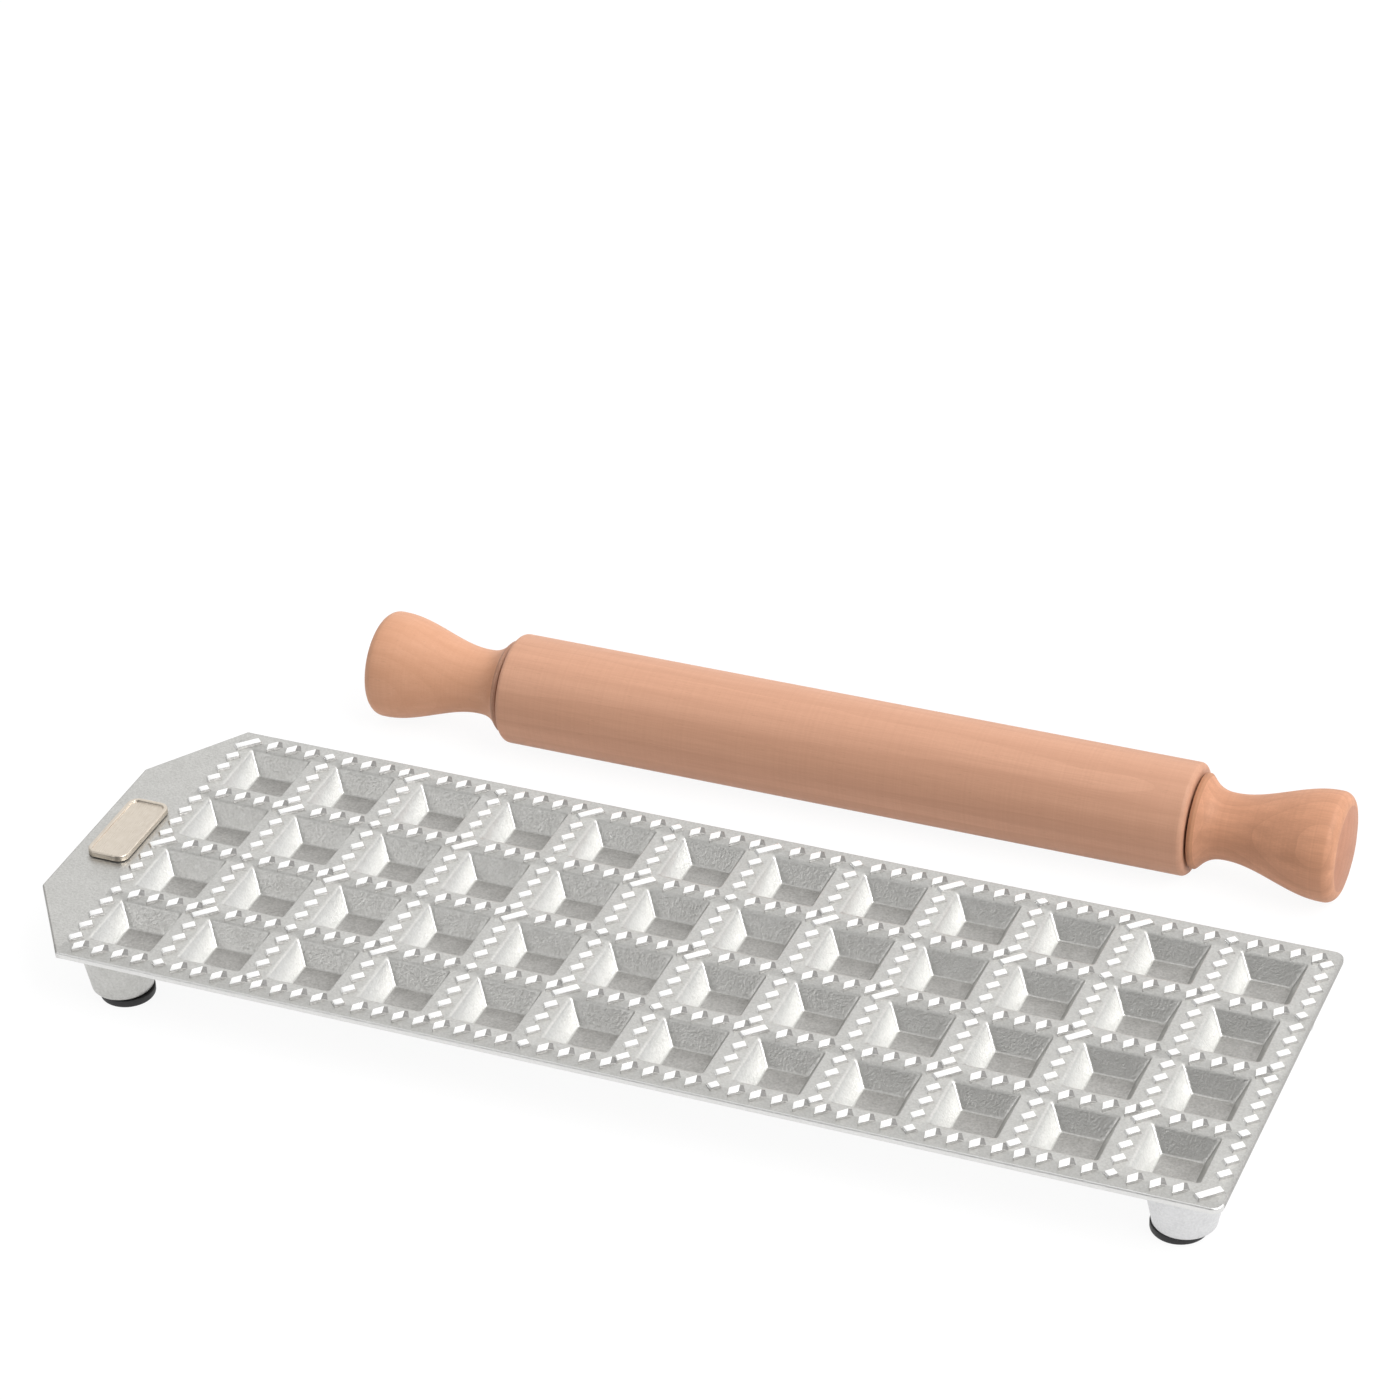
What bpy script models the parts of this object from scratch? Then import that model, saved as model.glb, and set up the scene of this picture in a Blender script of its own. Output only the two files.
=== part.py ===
"""Ravioli mould with its rolling pin.

A cast aluminium tray of square pockets, framed by ridges of small cutting teeth,
stands on four tapered legs with rubber pads. A plain plaque is pegged to its tab.
Behind it lies a small rolling pin, whose barrel turns on a steel axle.

Metres, +Z up. The origin is on the table, under the middle of the whole set.
+X runs along the mould, away from the tab, and +Y from the mould to the pin.
"""
import math

import bmesh
import bpy
from mathutils import Vector

# Grid of pockets and teeth
CELL_PITCH = 0.026
CELLS_ALONG = 12
CELLS_ACROSS = 4
TEETH_PER_CELL = 4.5
STRIPE_SHIFT = 0.0024
POCKET_MOUTH = 0.0187
POCKET_FLOOR = 0.0110
POCKET_DEPTH = 0.0057
POCKET_SHIFT = -0.0004
CAST_WALL = 0.0015

# Cutting teeth, each a short piece of a diagonal stripe
TOOTH_HEIGHT = 0.0007
TOOTH_ROOT = 0.0006
TOOTH_WIDTH = 0.0020
TOOTH_RUN = 0.0029
TOOTH_FLARE = 0.0002
BAR_RUN = 0.0070
DIAMOND_RUN = 0.0026
LONG_RIDGE_CUT = math.radians(-78)
CROSS_RIDGE_CUT = math.radians(-53)
SQUARE_CUT = math.radians(-45)
CORNER_BAR_PLACE = (-0.0013, 0.0006)

# Plate that carries the grid
STAND_HEIGHT = 0.0195
PLATE_THICKNESS = 0.0018
SIDE_MARGIN = 0.0048
END_MARGIN = 0.0032
END_CORNER_RADIUS = 0.0034
TAB_SHOULDER = 0.0018
TAB_REACH = 0.0202
TAB_END_WIDTH = 0.0598

# Legs and rubber pads
LEG_INSET_ALONG = 0.0095
LEG_INSET_ACROSS = 0.0088
LEG_TOP_RADIUS = 0.0109
LEG_FOOT_RADIUS = 0.0082
PAD_RADIUS = 0.0074
PAD_THICKNESS = 0.0023
PAD_SHIFT = 0.0013
PAD_STEM_RADIUS = 0.0028
PAD_STEM_LENGTH = 0.0050
PAD_EDGE_RADIUS = 0.0005

# Plain plaque on the tab
PLAQUE_LENGTH = 0.0280
PLAQUE_WIDTH = 0.0120
PLAQUE_THICKNESS = 0.0016
PLAQUE_CORNER = 0.0030
PLAQUE_RIM = 0.0011
PLAQUE_FIELD_DEPTH = 0.0005
PLAQUE_FROM_GRID = 0.0098
PEG_RADIUS = 0.0012
PEG_SPACING = 0.0180
PEG_ROOT = 0.0008

# Rolling pin
BARREL_RADIUS = 0.01575
BARREL_LENGTH = 0.2020
BARREL_EDGE_RADIUS = 0.0026
BARREL_BORE_RADIUS = 0.0042
HANDLE_LENGTH = 0.0425
HANDLE_FLANGE_RADIUS = 0.0131
HANDLE_WAIST_RADIUS = 0.0093
HANDLE_WAIST_AT = 0.0092
HANDLE_KNOB_RADIUS = 0.0153
HANDLE_NECK_POWER = 2.6
HANDLE_RIM_LENGTH = 0.0010
HANDLE_EDGE_RADIUS = 0.0034
HANDLE_END_RISE = 0.0016
HANDLE_BORE_DEPTH = 0.0220
AXLE_RADIUS = 0.0030
BUSH_RADIUS = 0.0056
BUSH_LENGTH = 0.0160
PIN_FROM_MOULD = 0.1077
PIN_ALONG = 0.0028

# Clearances between pieces
SEAT_GAP = 0.0003
RUNNING_GAP = 0.0003
HANDLE_GAP = 0.0007

# Fineness of round faces
BARREL_SIDES = 40
HANDLE_SIDES = 32
SMALL_SIDES = 20
CORNER_STEPS = 5
EDGE_STEPS = 3
ROUND_EDGE_STEPS = 4
NECK_STEPS = 4
SWELL_STEPS = 7
END_DOME_SHARES = (0.6, 0.3, 0.0)
SOFT_ANGLE = math.radians(35)

# Extra reach of a form that cuts, past the face it cuts through
CUT_REACH = 0.002

# Derived places
TOOTH_PITCH = CELL_PITCH / TEETH_PER_CELL
GRID_HALF_X = CELLS_ALONG * CELL_PITCH / 2
GRID_HALF_Y = CELLS_ACROSS * CELL_PITCH / 2
PLATE_LEFT = -GRID_HALF_X - TAB_REACH
PLATE_RIGHT = GRID_HALF_X + END_MARGIN
PLATE_SIDE = GRID_HALF_Y + SIDE_MARGIN
SET_BACK = PIN_FROM_MOULD + BARREL_RADIUS
MOULD_X = -(PLATE_LEFT + PLATE_RIGHT) / 2
MOULD_Y = (PLATE_SIDE - SET_BACK) / 2
LAND_Z = STAND_HEIGHT - TOOTH_HEIGHT
MIDPLANE_Z = LAND_Z - PLATE_THICKNESS / 2
UNDERSIDE_Z = LAND_Z - PLATE_THICKNESS
LEG_FOOT_Z = PAD_THICKNESS + SEAT_GAP
PIN_X = MOULD_X + PIN_ALONG
PIN_Y = MOULD_Y + PIN_FROM_MOULD
HANDLE_START = BARREL_LENGTH / 2 + HANDLE_GAP
HANDLE_FACE_AT = HANDLE_LENGTH - HANDLE_END_RISE
HANDLE_KNOB_AT = HANDLE_FACE_AT - HANDLE_EDGE_RADIUS - HANDLE_RIM_LENGTH
DIAGONAL = Vector((1.0, 1.0)).normalized()


def clear_scene():
    """Remove every object of the scene that the script starts in."""
    for item in list(bpy.data.objects):
        bpy.data.objects.remove(item, do_unlink=True)


def make_material(name, colour, roughness, metallic):
    """A Principled material with one colour, roughness and metallic value."""
    material = bpy.data.materials.new(name)
    material.use_nodes = True
    shader = material.node_tree.nodes["Principled BSDF"]
    shader.inputs["Base Color"].default_value = (*colour, 1.0)
    shader.inputs["Roughness"].default_value = roughness
    shader.inputs["Metallic"].default_value = metallic
    material.diffuse_color = (*colour, 1.0)
    return material


def add_object(name, form, location=(0, 0, 0), material=None, smooth=None):
    """Turn a bmesh into an object; smooth is the angle that stays a sharp edge."""
    mesh = bpy.data.meshes.new(name)
    form.to_mesh(mesh)
    form.free()
    if smooth is not None:
        mesh.shade_smooth()
        mesh.set_sharp_from_angle(angle=smooth)
    item = bpy.data.objects.new(name, mesh)
    item.location = location
    bpy.context.scene.collection.objects.link(item)
    if material:
        mesh.materials.append(material)
    return item


def as_tool(item):
    """Mark an object as a form that only shapes another one."""
    item.hide_render = True
    item.display_type = "WIRE"
    return item


def combine(target, tool, operation):
    """Join a form to the target or cut it away, with an exact Boolean."""
    step = target.modifiers.new(tool.name, "BOOLEAN")
    step.operation = operation
    step.solver = "EXACT"
    step.object = tool


def arc(centre, radius, start, end, steps):
    """Points of an arc from the start angle to the end angle, both included."""
    points = []
    for step in range(steps + 1):
        angle = start + (end - start) * step / steps
        points.append((centre[0] + radius * math.cos(angle), centre[1] + radius * math.sin(angle)))
    return points


def circle(centre, radius, sides=SMALL_SIDES):
    """Corners of a regular outline, anticlockwise."""
    return arc(centre, radius, 0, math.tau, sides)[:-1]


def at_height(outline, height):
    """The outline's points at one height."""
    return [(x, y, height) for x, y in outline]


def add_loft(form, rings):
    """Close a solid from rings of equal length, first and last capped."""
    loops = [[form.verts.new(point) for point in ring] for ring in rings]
    count = len(loops[0])
    for low, high in zip(loops, loops[1:]):
        for index in range(count):
            following = (index + 1) % count
            form.faces.new((low[index], low[following], high[following], high[index]))
    form.faces.new(list(reversed(loops[0])))
    form.faces.new(loops[-1])


def prism(outline, low, high):
    """A straight solid over an anticlockwise outline."""
    form = bmesh.new()
    add_loft(form, [at_height(outline, low), at_height(outline, high)])
    return form


def square(centre, side):
    """Corners of an axis-parallel square, anticlockwise."""
    half = side / 2
    turns = ((-half, -half), (half, -half), (half, half), (-half, half))
    return [(centre[0] + x, centre[1] + y) for x, y in turns]


def turned(profile, sides, axis="Z"):
    """Spin a profile of (along, radius) points; points of radius 0 close on the axis."""
    form = bmesh.new()
    verts = [form.verts.new((radius, 0.0, along)) for along, radius in profile]
    closed = profile[0][1] > 0
    pairs = list(zip(verts, verts[1:])) + ([(verts[-1], verts[0])] if closed else [])
    edges = [form.edges.new(pair) for pair in pairs]
    bmesh.ops.spin(form, geom=verts + edges, cent=(0, 0, 0), axis=(0, 0, 1),
                   angle=math.tau, steps=sides, use_merge=True)
    bmesh.ops.remove_doubles(form, verts=form.verts, dist=1e-7)
    bmesh.ops.recalc_face_normals(form, faces=form.faces)
    if axis == "X":
        for vert in form.verts:
            vert.co = Vector((vert.co.z, vert.co.x, vert.co.y))
    return form


def clear_radius(shaft_radius, gap, sides):
    """Corner radius of a faceted bore whose flats clear a shaft by the gap."""
    return (shaft_radius + gap) / math.cos(math.pi / sides)


def plate_outline():
    """Plate seen from above: pointed tab at -X, rounded corners at +X."""
    radius = END_CORNER_RADIUS
    shoulder = -GRID_HALF_X - TAB_SHOULDER
    front = arc((PLATE_RIGHT - radius, radius - PLATE_SIDE), radius, -math.pi / 2, 0, CORNER_STEPS)
    back = arc((PLATE_RIGHT - radius, PLATE_SIDE - radius), radius, 0, math.pi / 2, CORNER_STEPS)
    tab_half = TAB_END_WIDTH / 2
    tab = [(shoulder, PLATE_SIDE), (PLATE_LEFT, tab_half), (PLATE_LEFT, -tab_half), (shoulder, -PLATE_SIDE)]
    return front + back + tab


def cell_centres():
    """Middle of each pocket, from the grid's middle."""
    for along in range(CELLS_ALONG):
        for across in range(CELLS_ACROSS):
            x = (along + 0.5) * CELL_PITCH - GRID_HALF_X + POCKET_SHIFT
            y = (across + 0.5) * CELL_PITCH - GRID_HALF_Y
            yield x, y


def pocket_side(depth):
    """Side of a pocket's square at a depth below the land; above it, depth is negative."""
    return POCKET_MOUTH + (POCKET_FLOOR - POCKET_MOUTH) * depth / POCKET_DEPTH


def pocket_cavities():
    """The hollows of all pockets, run up past the teeth on the same slope."""
    form = bmesh.new()
    for centre in cell_centres():
        floor = at_height(square(centre, POCKET_FLOOR), LAND_Z - POCKET_DEPTH)
        mouth = at_height(square(centre, pocket_side(-CUT_REACH)), LAND_Z + CUT_REACH)
        add_loft(form, [floor, mouth])
    return form


def pocket_shells():
    """The outer walls of all pockets below the plate."""
    form = bmesh.new()
    lean = (POCKET_MOUTH - POCKET_FLOOR) / 2 / POCKET_DEPTH
    walls = 2 * CAST_WALL * math.hypot(1, lean)
    base_z = LAND_Z - POCKET_DEPTH - CAST_WALL
    base_side = pocket_side(LAND_Z - base_z) + walls
    root_side = pocket_side(LAND_Z - MIDPLANE_Z) + walls
    for centre in cell_centres():
        base = at_height(square(centre, base_side), base_z)
        root = at_height(square(centre, root_side), MIDPLANE_Z)
        add_loft(form, [base, root])
    return form


def leg_centres():
    """Middle of each leg, and the way to the mould's middle along X."""
    for side_x in (-1, 1):
        for side_y in (-1, 1):
            x = side_x * (GRID_HALF_X - LEG_INSET_ALONG)
            y = side_y * (GRID_HALF_Y - LEG_INSET_ACROSS)
            yield x, y, -side_x


def legs():
    """The four tapered legs, rooted inside the plate."""
    form = bmesh.new()
    for x, y, _inward in leg_centres():
        foot = at_height(circle((x, y), LEG_FOOT_RADIUS), LEG_FOOT_Z)
        root = at_height(circle((x, y), LEG_TOP_RADIUS), MIDPLANE_Z)
        add_loft(form, [foot, root])
    return form


def pad_centres():
    """Middle of each pad, a little inboard of its leg."""
    return [(x + inward * PAD_SHIFT, y) for x, y, inward in leg_centres()]


def stem_sockets():
    """Blind holes in the legs for the pads' stems."""
    form = bmesh.new()
    radius = clear_radius(PAD_STEM_RADIUS, SEAT_GAP, SMALL_SIDES)
    top = PAD_THICKNESS + PAD_STEM_LENGTH + SEAT_GAP
    for centre in pad_centres():
        outline = circle(centre, radius)
        add_loft(form, [at_height(outline, LEG_FOOT_Z - CUT_REACH), at_height(outline, top)])
    return form


def stripe_offsets(along, across):
    """Offsets along X from a ridge crossing to the stripes that pass near it."""
    crossing = (along - across) * CELL_PITCH
    first = math.ceil((crossing - CELL_PITCH / 2 - STRIPE_SHIFT) / TOOTH_PITCH)
    offsets = []
    while first * TOOTH_PITCH + STRIPE_SHIFT - crossing < CELL_PITCH / 2:
        offsets.append(first * TOOTH_PITCH + STRIPE_SHIFT - crossing)
        first += 1
    return offsets


def crossing_teeth(along, across):
    """Teeth of the half ridges that meet at one crossing: (x, y, run, end cut).

    A stripe meets the long ridge at (offset, 0) and the cross ridge at (0, -offset).
    Where the two places nearly meet, they share one bar or one diamond.
    """
    x = along * CELL_PITCH - GRID_HALF_X
    y = across * CELL_PITCH - GRID_HALF_Y
    teeth = []
    for offset in stripe_offsets(along, across):
        on_long = 0 <= x + offset + GRID_HALF_X <= 2 * GRID_HALF_X
        on_cross = 0 <= y - offset + GRID_HALF_Y <= 2 * GRID_HALF_Y
        if abs(offset) < TOOTH_WIDTH / 2:
            teeth.append((x, y, DIAMOND_RUN, SQUARE_CUT))
        elif abs(offset) < TOOTH_PITCH / 2 and on_long and on_cross:
            teeth.append((x + offset / 2, y - offset / 2, BAR_RUN, SQUARE_CUT))
        else:
            if on_long:
                teeth.append((x + offset, y, TOOTH_RUN, LONG_RIDGE_CUT))
            if on_cross:
                teeth.append((x, y - offset, TOOTH_RUN, CROSS_RIDGE_CUT))
    return teeth


def all_teeth():
    """Every tooth of the grid; the front right corner is closed by one long bar."""
    corner = Vector((GRID_HALF_X, -GRID_HALF_Y))
    teeth = []
    for along in range(CELLS_ALONG + 1):
        for across in range(CELLS_ACROSS + 1):
            teeth += crossing_teeth(along, across)
    teeth = [tooth for tooth in teeth if (Vector(tooth[:2]) - corner).length > TOOTH_PITCH]
    bar = corner + Vector(CORNER_BAR_PLACE)
    teeth.append((bar.x, bar.y, BAR_RUN, SQUARE_CUT))
    return teeth


def tooth_outline(x, y, run, cut, flare):
    """A parallelogram: two sides along the diagonal, two at the end cut's angle."""
    across_length = TOOTH_WIDTH / math.sin(math.pi / 4 - cut)
    half_run = DIAGONAL * (run / 2)
    half_cut = Vector((math.cos(cut), math.sin(cut))) * (across_length / 2)
    grow = 1 + 2 * flare / TOOTH_WIDTH
    corners = (-half_run + half_cut, half_run + half_cut, half_run - half_cut, -half_run - half_cut)
    return [(x + corner.x * grow, y + corner.y * grow) for corner in corners]


def teeth_form():
    """All teeth as small prisms, wider at the foot, rooted inside the plate."""
    form = bmesh.new()
    for x, y, run, cut in all_teeth():
        foot = tooth_outline(x, y, run, cut, TOOTH_FLARE)
        tip = tooth_outline(x, y, run, cut, 0)
        add_loft(form, [at_height(foot, LAND_Z - TOOTH_ROOT), at_height(tip, STAND_HEIGHT)])
    return form


def plaque_places():
    """Middle of the plaque and of its two pegs, from the grid's middle."""
    x = -GRID_HALF_X - PLAQUE_FROM_GRID
    return (x, 0.0), [(x, PEG_SPACING / 2), (x, -PEG_SPACING / 2)]


def peg_holes():
    """Holes through the tab for the plaque's pegs."""
    form = bmesh.new()
    radius = clear_radius(PEG_RADIUS, SEAT_GAP, SMALL_SIDES)
    for centre in plaque_places()[1]:
        outline = circle(centre, radius)
        low = at_height(outline, UNDERSIDE_Z - CUT_REACH)
        high = at_height(outline, LAND_Z + CUT_REACH)
        add_loft(form, [low, high])
    return form


def build_tray(material):
    """The casting: plate, pockets, legs and teeth in one solid."""
    place = (MOULD_X, MOULD_Y, 0)
    tray = add_object("mould_tray", prism(plate_outline(), UNDERSIDE_Z, LAND_Z), place, material)
    steps = (
        ("pocket_shell_form", pocket_shells(), "UNION"),
        ("leg_form", legs(), "UNION"),
        ("pocket_cavity_form", pocket_cavities(), "DIFFERENCE"),
        ("tooth_form", teeth_form(), "UNION"),
        ("stem_socket_form", stem_sockets(), "DIFFERENCE"),
        ("peg_hole_form", peg_holes(), "DIFFERENCE"),
    )
    for name, form, operation in steps:
        combine(tray, as_tool(add_object(name, form, place)), operation)
    return tray


def pad_profile():
    """Half section of a pad: flat disc with a rounded lower edge and a stem on top."""
    corner = (PAD_RADIUS - PAD_EDGE_RADIUS, PAD_EDGE_RADIUS)
    edge = arc(corner, PAD_EDGE_RADIUS, -math.pi / 2, 0, EDGE_STEPS)
    profile = [(0.0, 0.0)] + [(z, radius) for radius, z in edge]
    stem_top = PAD_THICKNESS + PAD_STEM_LENGTH
    profile += [(PAD_THICKNESS, PAD_RADIUS), (PAD_THICKNESS, PAD_STEM_RADIUS)]
    profile += [(stem_top, PAD_STEM_RADIUS), (stem_top, 0.0)]
    return profile


def build_pads(material):
    """One rubber pad under each leg."""
    names = ("foot_pad_front_left", "foot_pad_back_left", "foot_pad_front_right", "foot_pad_back_right")
    for name, (x, y) in zip(names, pad_centres()):
        place = (MOULD_X + x, MOULD_Y + y, 0)
        add_object(name, turned(pad_profile(), SMALL_SIDES), place, material, SOFT_ANGLE)


def plaque_outline(inset):
    """Rounded rectangle, drawn in by the inset."""
    half_x = PLAQUE_WIDTH / 2 - inset
    half_y = PLAQUE_LENGTH / 2 - inset
    radius = PLAQUE_CORNER - inset
    points = []
    for turn, (sign_x, sign_y) in enumerate(((1, 1), (-1, 1), (-1, -1), (1, -1))):
        centre = (sign_x * (half_x - radius), sign_y * (half_y - radius))
        points += arc(centre, radius, turn * math.pi / 2, (turn + 1) * math.pi / 2, CORNER_STEPS)
    return points


def build_plaque(material):
    """Plain plaque with a raised rim, and two pegs that pass through the tab."""
    centre, pegs = plaque_places()
    low = LAND_Z + SEAT_GAP
    high = low + PLAQUE_THICKNESS
    form = bmesh.new()
    rings = [(0, low), (0, high), (PLAQUE_RIM, high), (PLAQUE_RIM, high - PLAQUE_FIELD_DEPTH)]
    add_loft(form, [at_height(plaque_outline(inset), z) for inset, z in rings])
    place = (MOULD_X + centre[0], MOULD_Y + centre[1], 0)
    plaque = add_object("badge_plate", form, place, material)
    peg_form = bmesh.new()
    for peg in pegs:
        outline = circle(peg, PEG_RADIUS)
        add_loft(peg_form, [at_height(outline, UNDERSIDE_Z), at_height(outline, low + PEG_ROOT)])
    combine(plaque, as_tool(add_object("peg_form", peg_form, (MOULD_X, MOULD_Y, 0))), "UNION")
    return plaque


def pin_frame():
    """Empty on the rolling pin's axis, which its pieces hang from."""
    frame = bpy.data.objects.new("pin_axis", None)
    frame.location = (PIN_X, PIN_Y, BARREL_RADIUS)
    bpy.context.scene.collection.objects.link(frame)
    return frame


def barrel_profile():
    """Closed half section of the barrel, with a wider seat at each end for a bush."""
    half = BARREL_LENGTH / 2
    seat_radius = clear_radius(BUSH_RADIUS, SEAT_GAP, BARREL_SIDES)
    seat_depth = BUSH_LENGTH + SEAT_GAP
    corner = (half - BARREL_EDGE_RADIUS, BARREL_RADIUS - BARREL_EDGE_RADIUS)
    right = arc(corner, BARREL_EDGE_RADIUS, math.pi / 2, 0, ROUND_EDGE_STEPS)
    right += [(half, seat_radius), (half - seat_depth, seat_radius)]
    right.append((half - seat_depth, BARREL_BORE_RADIUS))
    left = [(-along, radius) for along, radius in reversed(right)]
    return right + left


def bush_profile():
    """Closed half section of a plain sleeve bush, from 0 to its length."""
    bore = clear_radius(AXLE_RADIUS, RUNNING_GAP, SMALL_SIDES)
    return [(0, bore), (0, BUSH_RADIUS), (BUSH_LENGTH, BUSH_RADIUS), (BUSH_LENGTH, bore)]


def handle_radius(along):
    """Outer radius: it falls from the flange to the waist, then swells to the knob."""
    if along < HANDLE_WAIST_AT:
        share = (1 - along / HANDLE_WAIST_AT) ** HANDLE_NECK_POWER
        return HANDLE_WAIST_RADIUS + (HANDLE_FLANGE_RADIUS - HANDLE_WAIST_RADIUS) * share
    share = (along - HANDLE_WAIST_AT) / (HANDLE_KNOB_AT - HANDLE_WAIST_AT)
    rise = share * share * (3 - 2 * share)
    return HANDLE_WAIST_RADIUS + (HANDLE_KNOB_RADIUS - HANDLE_WAIST_RADIUS) * rise


def handle_profile():
    """Half section of a handle from its bore's end, round the knob, to the axis."""
    bore = clear_radius(AXLE_RADIUS, SEAT_GAP, HANDLE_SIDES)
    depth = HANDLE_BORE_DEPTH + SEAT_GAP
    profile = [(depth, 0.0), (depth, bore), (0.0, bore)]
    places = [HANDLE_WAIST_AT * step / NECK_STEPS for step in range(NECK_STEPS)]
    swell = HANDLE_KNOB_AT - HANDLE_WAIST_AT
    places += [HANDLE_WAIST_AT + swell * step / SWELL_STEPS for step in range(SWELL_STEPS + 1)]
    profile += [(along, handle_radius(along)) for along in places]
    face_radius = HANDLE_KNOB_RADIUS - HANDLE_EDGE_RADIUS
    corner = (HANDLE_FACE_AT - HANDLE_EDGE_RADIUS, face_radius)
    profile += arc(corner, HANDLE_EDGE_RADIUS, math.pi / 2, 0, ROUND_EDGE_STEPS)
    for share in END_DOME_SHARES:
        along = HANDLE_FACE_AT + HANDLE_END_RISE * (1 - share * share)
        profile.append((along, face_radius * share))
    return profile


def build_pin(barrel_wood, handle_wood, steel, nylon):
    """Rolling pin: barrel and bushes turn on the axle, which holds both handles."""
    barrel = turned(barrel_profile(), BARREL_SIDES, "X")
    pieces = [add_object("pin_barrel", barrel, (0, 0, 0), barrel_wood, SOFT_ANGLE)]
    axle_half = HANDLE_START + HANDLE_BORE_DEPTH
    axle = [(-axle_half, 0.0), (-axle_half, AXLE_RADIUS), (axle_half, AXLE_RADIUS), (axle_half, 0.0)]
    axle_form = turned(axle, SMALL_SIDES, "X")
    pieces.append(add_object("pin_axle", axle_form, (0, 0, 0), steel, SOFT_ANGLE))
    bush_starts = {"left": -BARREL_LENGTH / 2, "right": BARREL_LENGTH / 2 - BUSH_LENGTH}
    for side, start in bush_starts.items():
        bush = turned(bush_profile(), SMALL_SIDES, "X")
        pieces.append(add_object(f"pin_bush_{side}", bush, (start, 0, 0), nylon, SOFT_ANGLE))
    for side, sign in (("left", -1), ("right", 1)):
        form = turned(handle_profile(), HANDLE_SIDES, "X")
        place = (sign * HANDLE_START, 0, 0)
        handle = add_object(f"pin_handle_{side}", form, place, handle_wood, SOFT_ANGLE)
        handle.rotation_euler.z = 0 if sign > 0 else math.pi
        pieces.append(handle)
    frame = pin_frame()
    for piece in pieces:
        piece.parent = frame


clear_scene()
build_tray(make_material("cast_aluminium", (0.62, 0.62, 0.60), 0.45, 1.0))
build_pads(make_material("black_rubber", (0.03, 0.03, 0.03), 0.8, 0.0))
build_plaque(make_material("champagne_plaque", (0.66, 0.57, 0.46), 0.35, 1.0))
build_pin(
    make_material("barrel_beech", (0.70, 0.42, 0.29), 0.55, 0.0),
    make_material("handle_beech", (0.76, 0.45, 0.28), 0.55, 0.0),
    make_material("axle_steel", (0.6, 0.6, 0.62), 0.3, 1.0),
    make_material("bush_nylon", (0.85, 0.83, 0.78), 0.5, 0.0),
)
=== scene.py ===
# %% [markdown]
# Ravioli mould with its rolling pin
#
# The real set is a cast aluminium tray with 48 square pockets, framed by ridges of small
# cutting teeth, and a wooden rolling pin that lies behind it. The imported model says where
# every piece is and how it moves. This script gives the pieces their finished shapes and
# surfaces, the camera and the light. All sizes are in metres, with +Z up.

import math

import bmesh
import bpy
import numpy as np
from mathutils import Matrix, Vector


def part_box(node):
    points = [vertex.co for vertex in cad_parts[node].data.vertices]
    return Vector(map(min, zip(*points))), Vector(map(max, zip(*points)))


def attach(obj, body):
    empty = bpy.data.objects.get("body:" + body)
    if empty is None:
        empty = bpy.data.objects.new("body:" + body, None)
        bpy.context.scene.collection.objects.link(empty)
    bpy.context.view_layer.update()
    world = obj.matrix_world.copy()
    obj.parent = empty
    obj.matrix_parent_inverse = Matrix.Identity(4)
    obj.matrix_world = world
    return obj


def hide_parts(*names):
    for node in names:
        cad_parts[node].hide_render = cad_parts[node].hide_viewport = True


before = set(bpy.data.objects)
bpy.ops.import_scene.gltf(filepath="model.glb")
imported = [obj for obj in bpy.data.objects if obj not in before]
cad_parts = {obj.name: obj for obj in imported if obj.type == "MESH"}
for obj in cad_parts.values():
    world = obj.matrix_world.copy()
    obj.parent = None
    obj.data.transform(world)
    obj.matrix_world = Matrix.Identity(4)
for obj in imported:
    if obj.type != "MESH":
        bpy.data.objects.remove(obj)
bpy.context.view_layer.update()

# %% [markdown]
# The camera comes first, because every later choice is judged through it. It could be set by
# eye, but here it is worked out from the grid of teeth, whose straight lines fix the view to
# about one pixel. It stands to the right, in front of the tray and well above it, far away
# with a long lens, so the lines of the tray stay nearly parallel.

# %% Camera
CAMERA_PLACE = (0.402886, -0.968195, 0.739519)
CAMERA_TURN = (57.62925, 1.43437, 21.77236)
LENS_MM = 122.6157
SENSOR_MM = 36.0


def add_camera():
    """The photograph's viewpoint, as a place, three turns in degrees and a lens."""
    data = bpy.data.cameras.new("camera")
    data.lens = LENS_MM
    data.sensor_width = SENSOR_MM
    camera = bpy.data.objects.new("camera", data)
    camera.location = CAMERA_PLACE
    camera.rotation_euler = [math.radians(turn) for turn in CAMERA_TURN]
    bpy.context.scene.collection.objects.link(camera)
    bpy.context.scene.camera = camera


add_camera()
print("camera with a lens of", LENS_MM, "mm")

# %% [markdown]
# Most shapes here are sections carried round a path, so three small helpers do most of the
# work. One rounds the corners of a section, one numbers the faces of a grid of points, and
# one makes the object. Bevel modifiers could round the corners too, but a section with its
# own arcs keeps the number of faces known and puts them where the edge needs them.

# %% Sections with rounded corners
ARC_STEPS = 4


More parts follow.
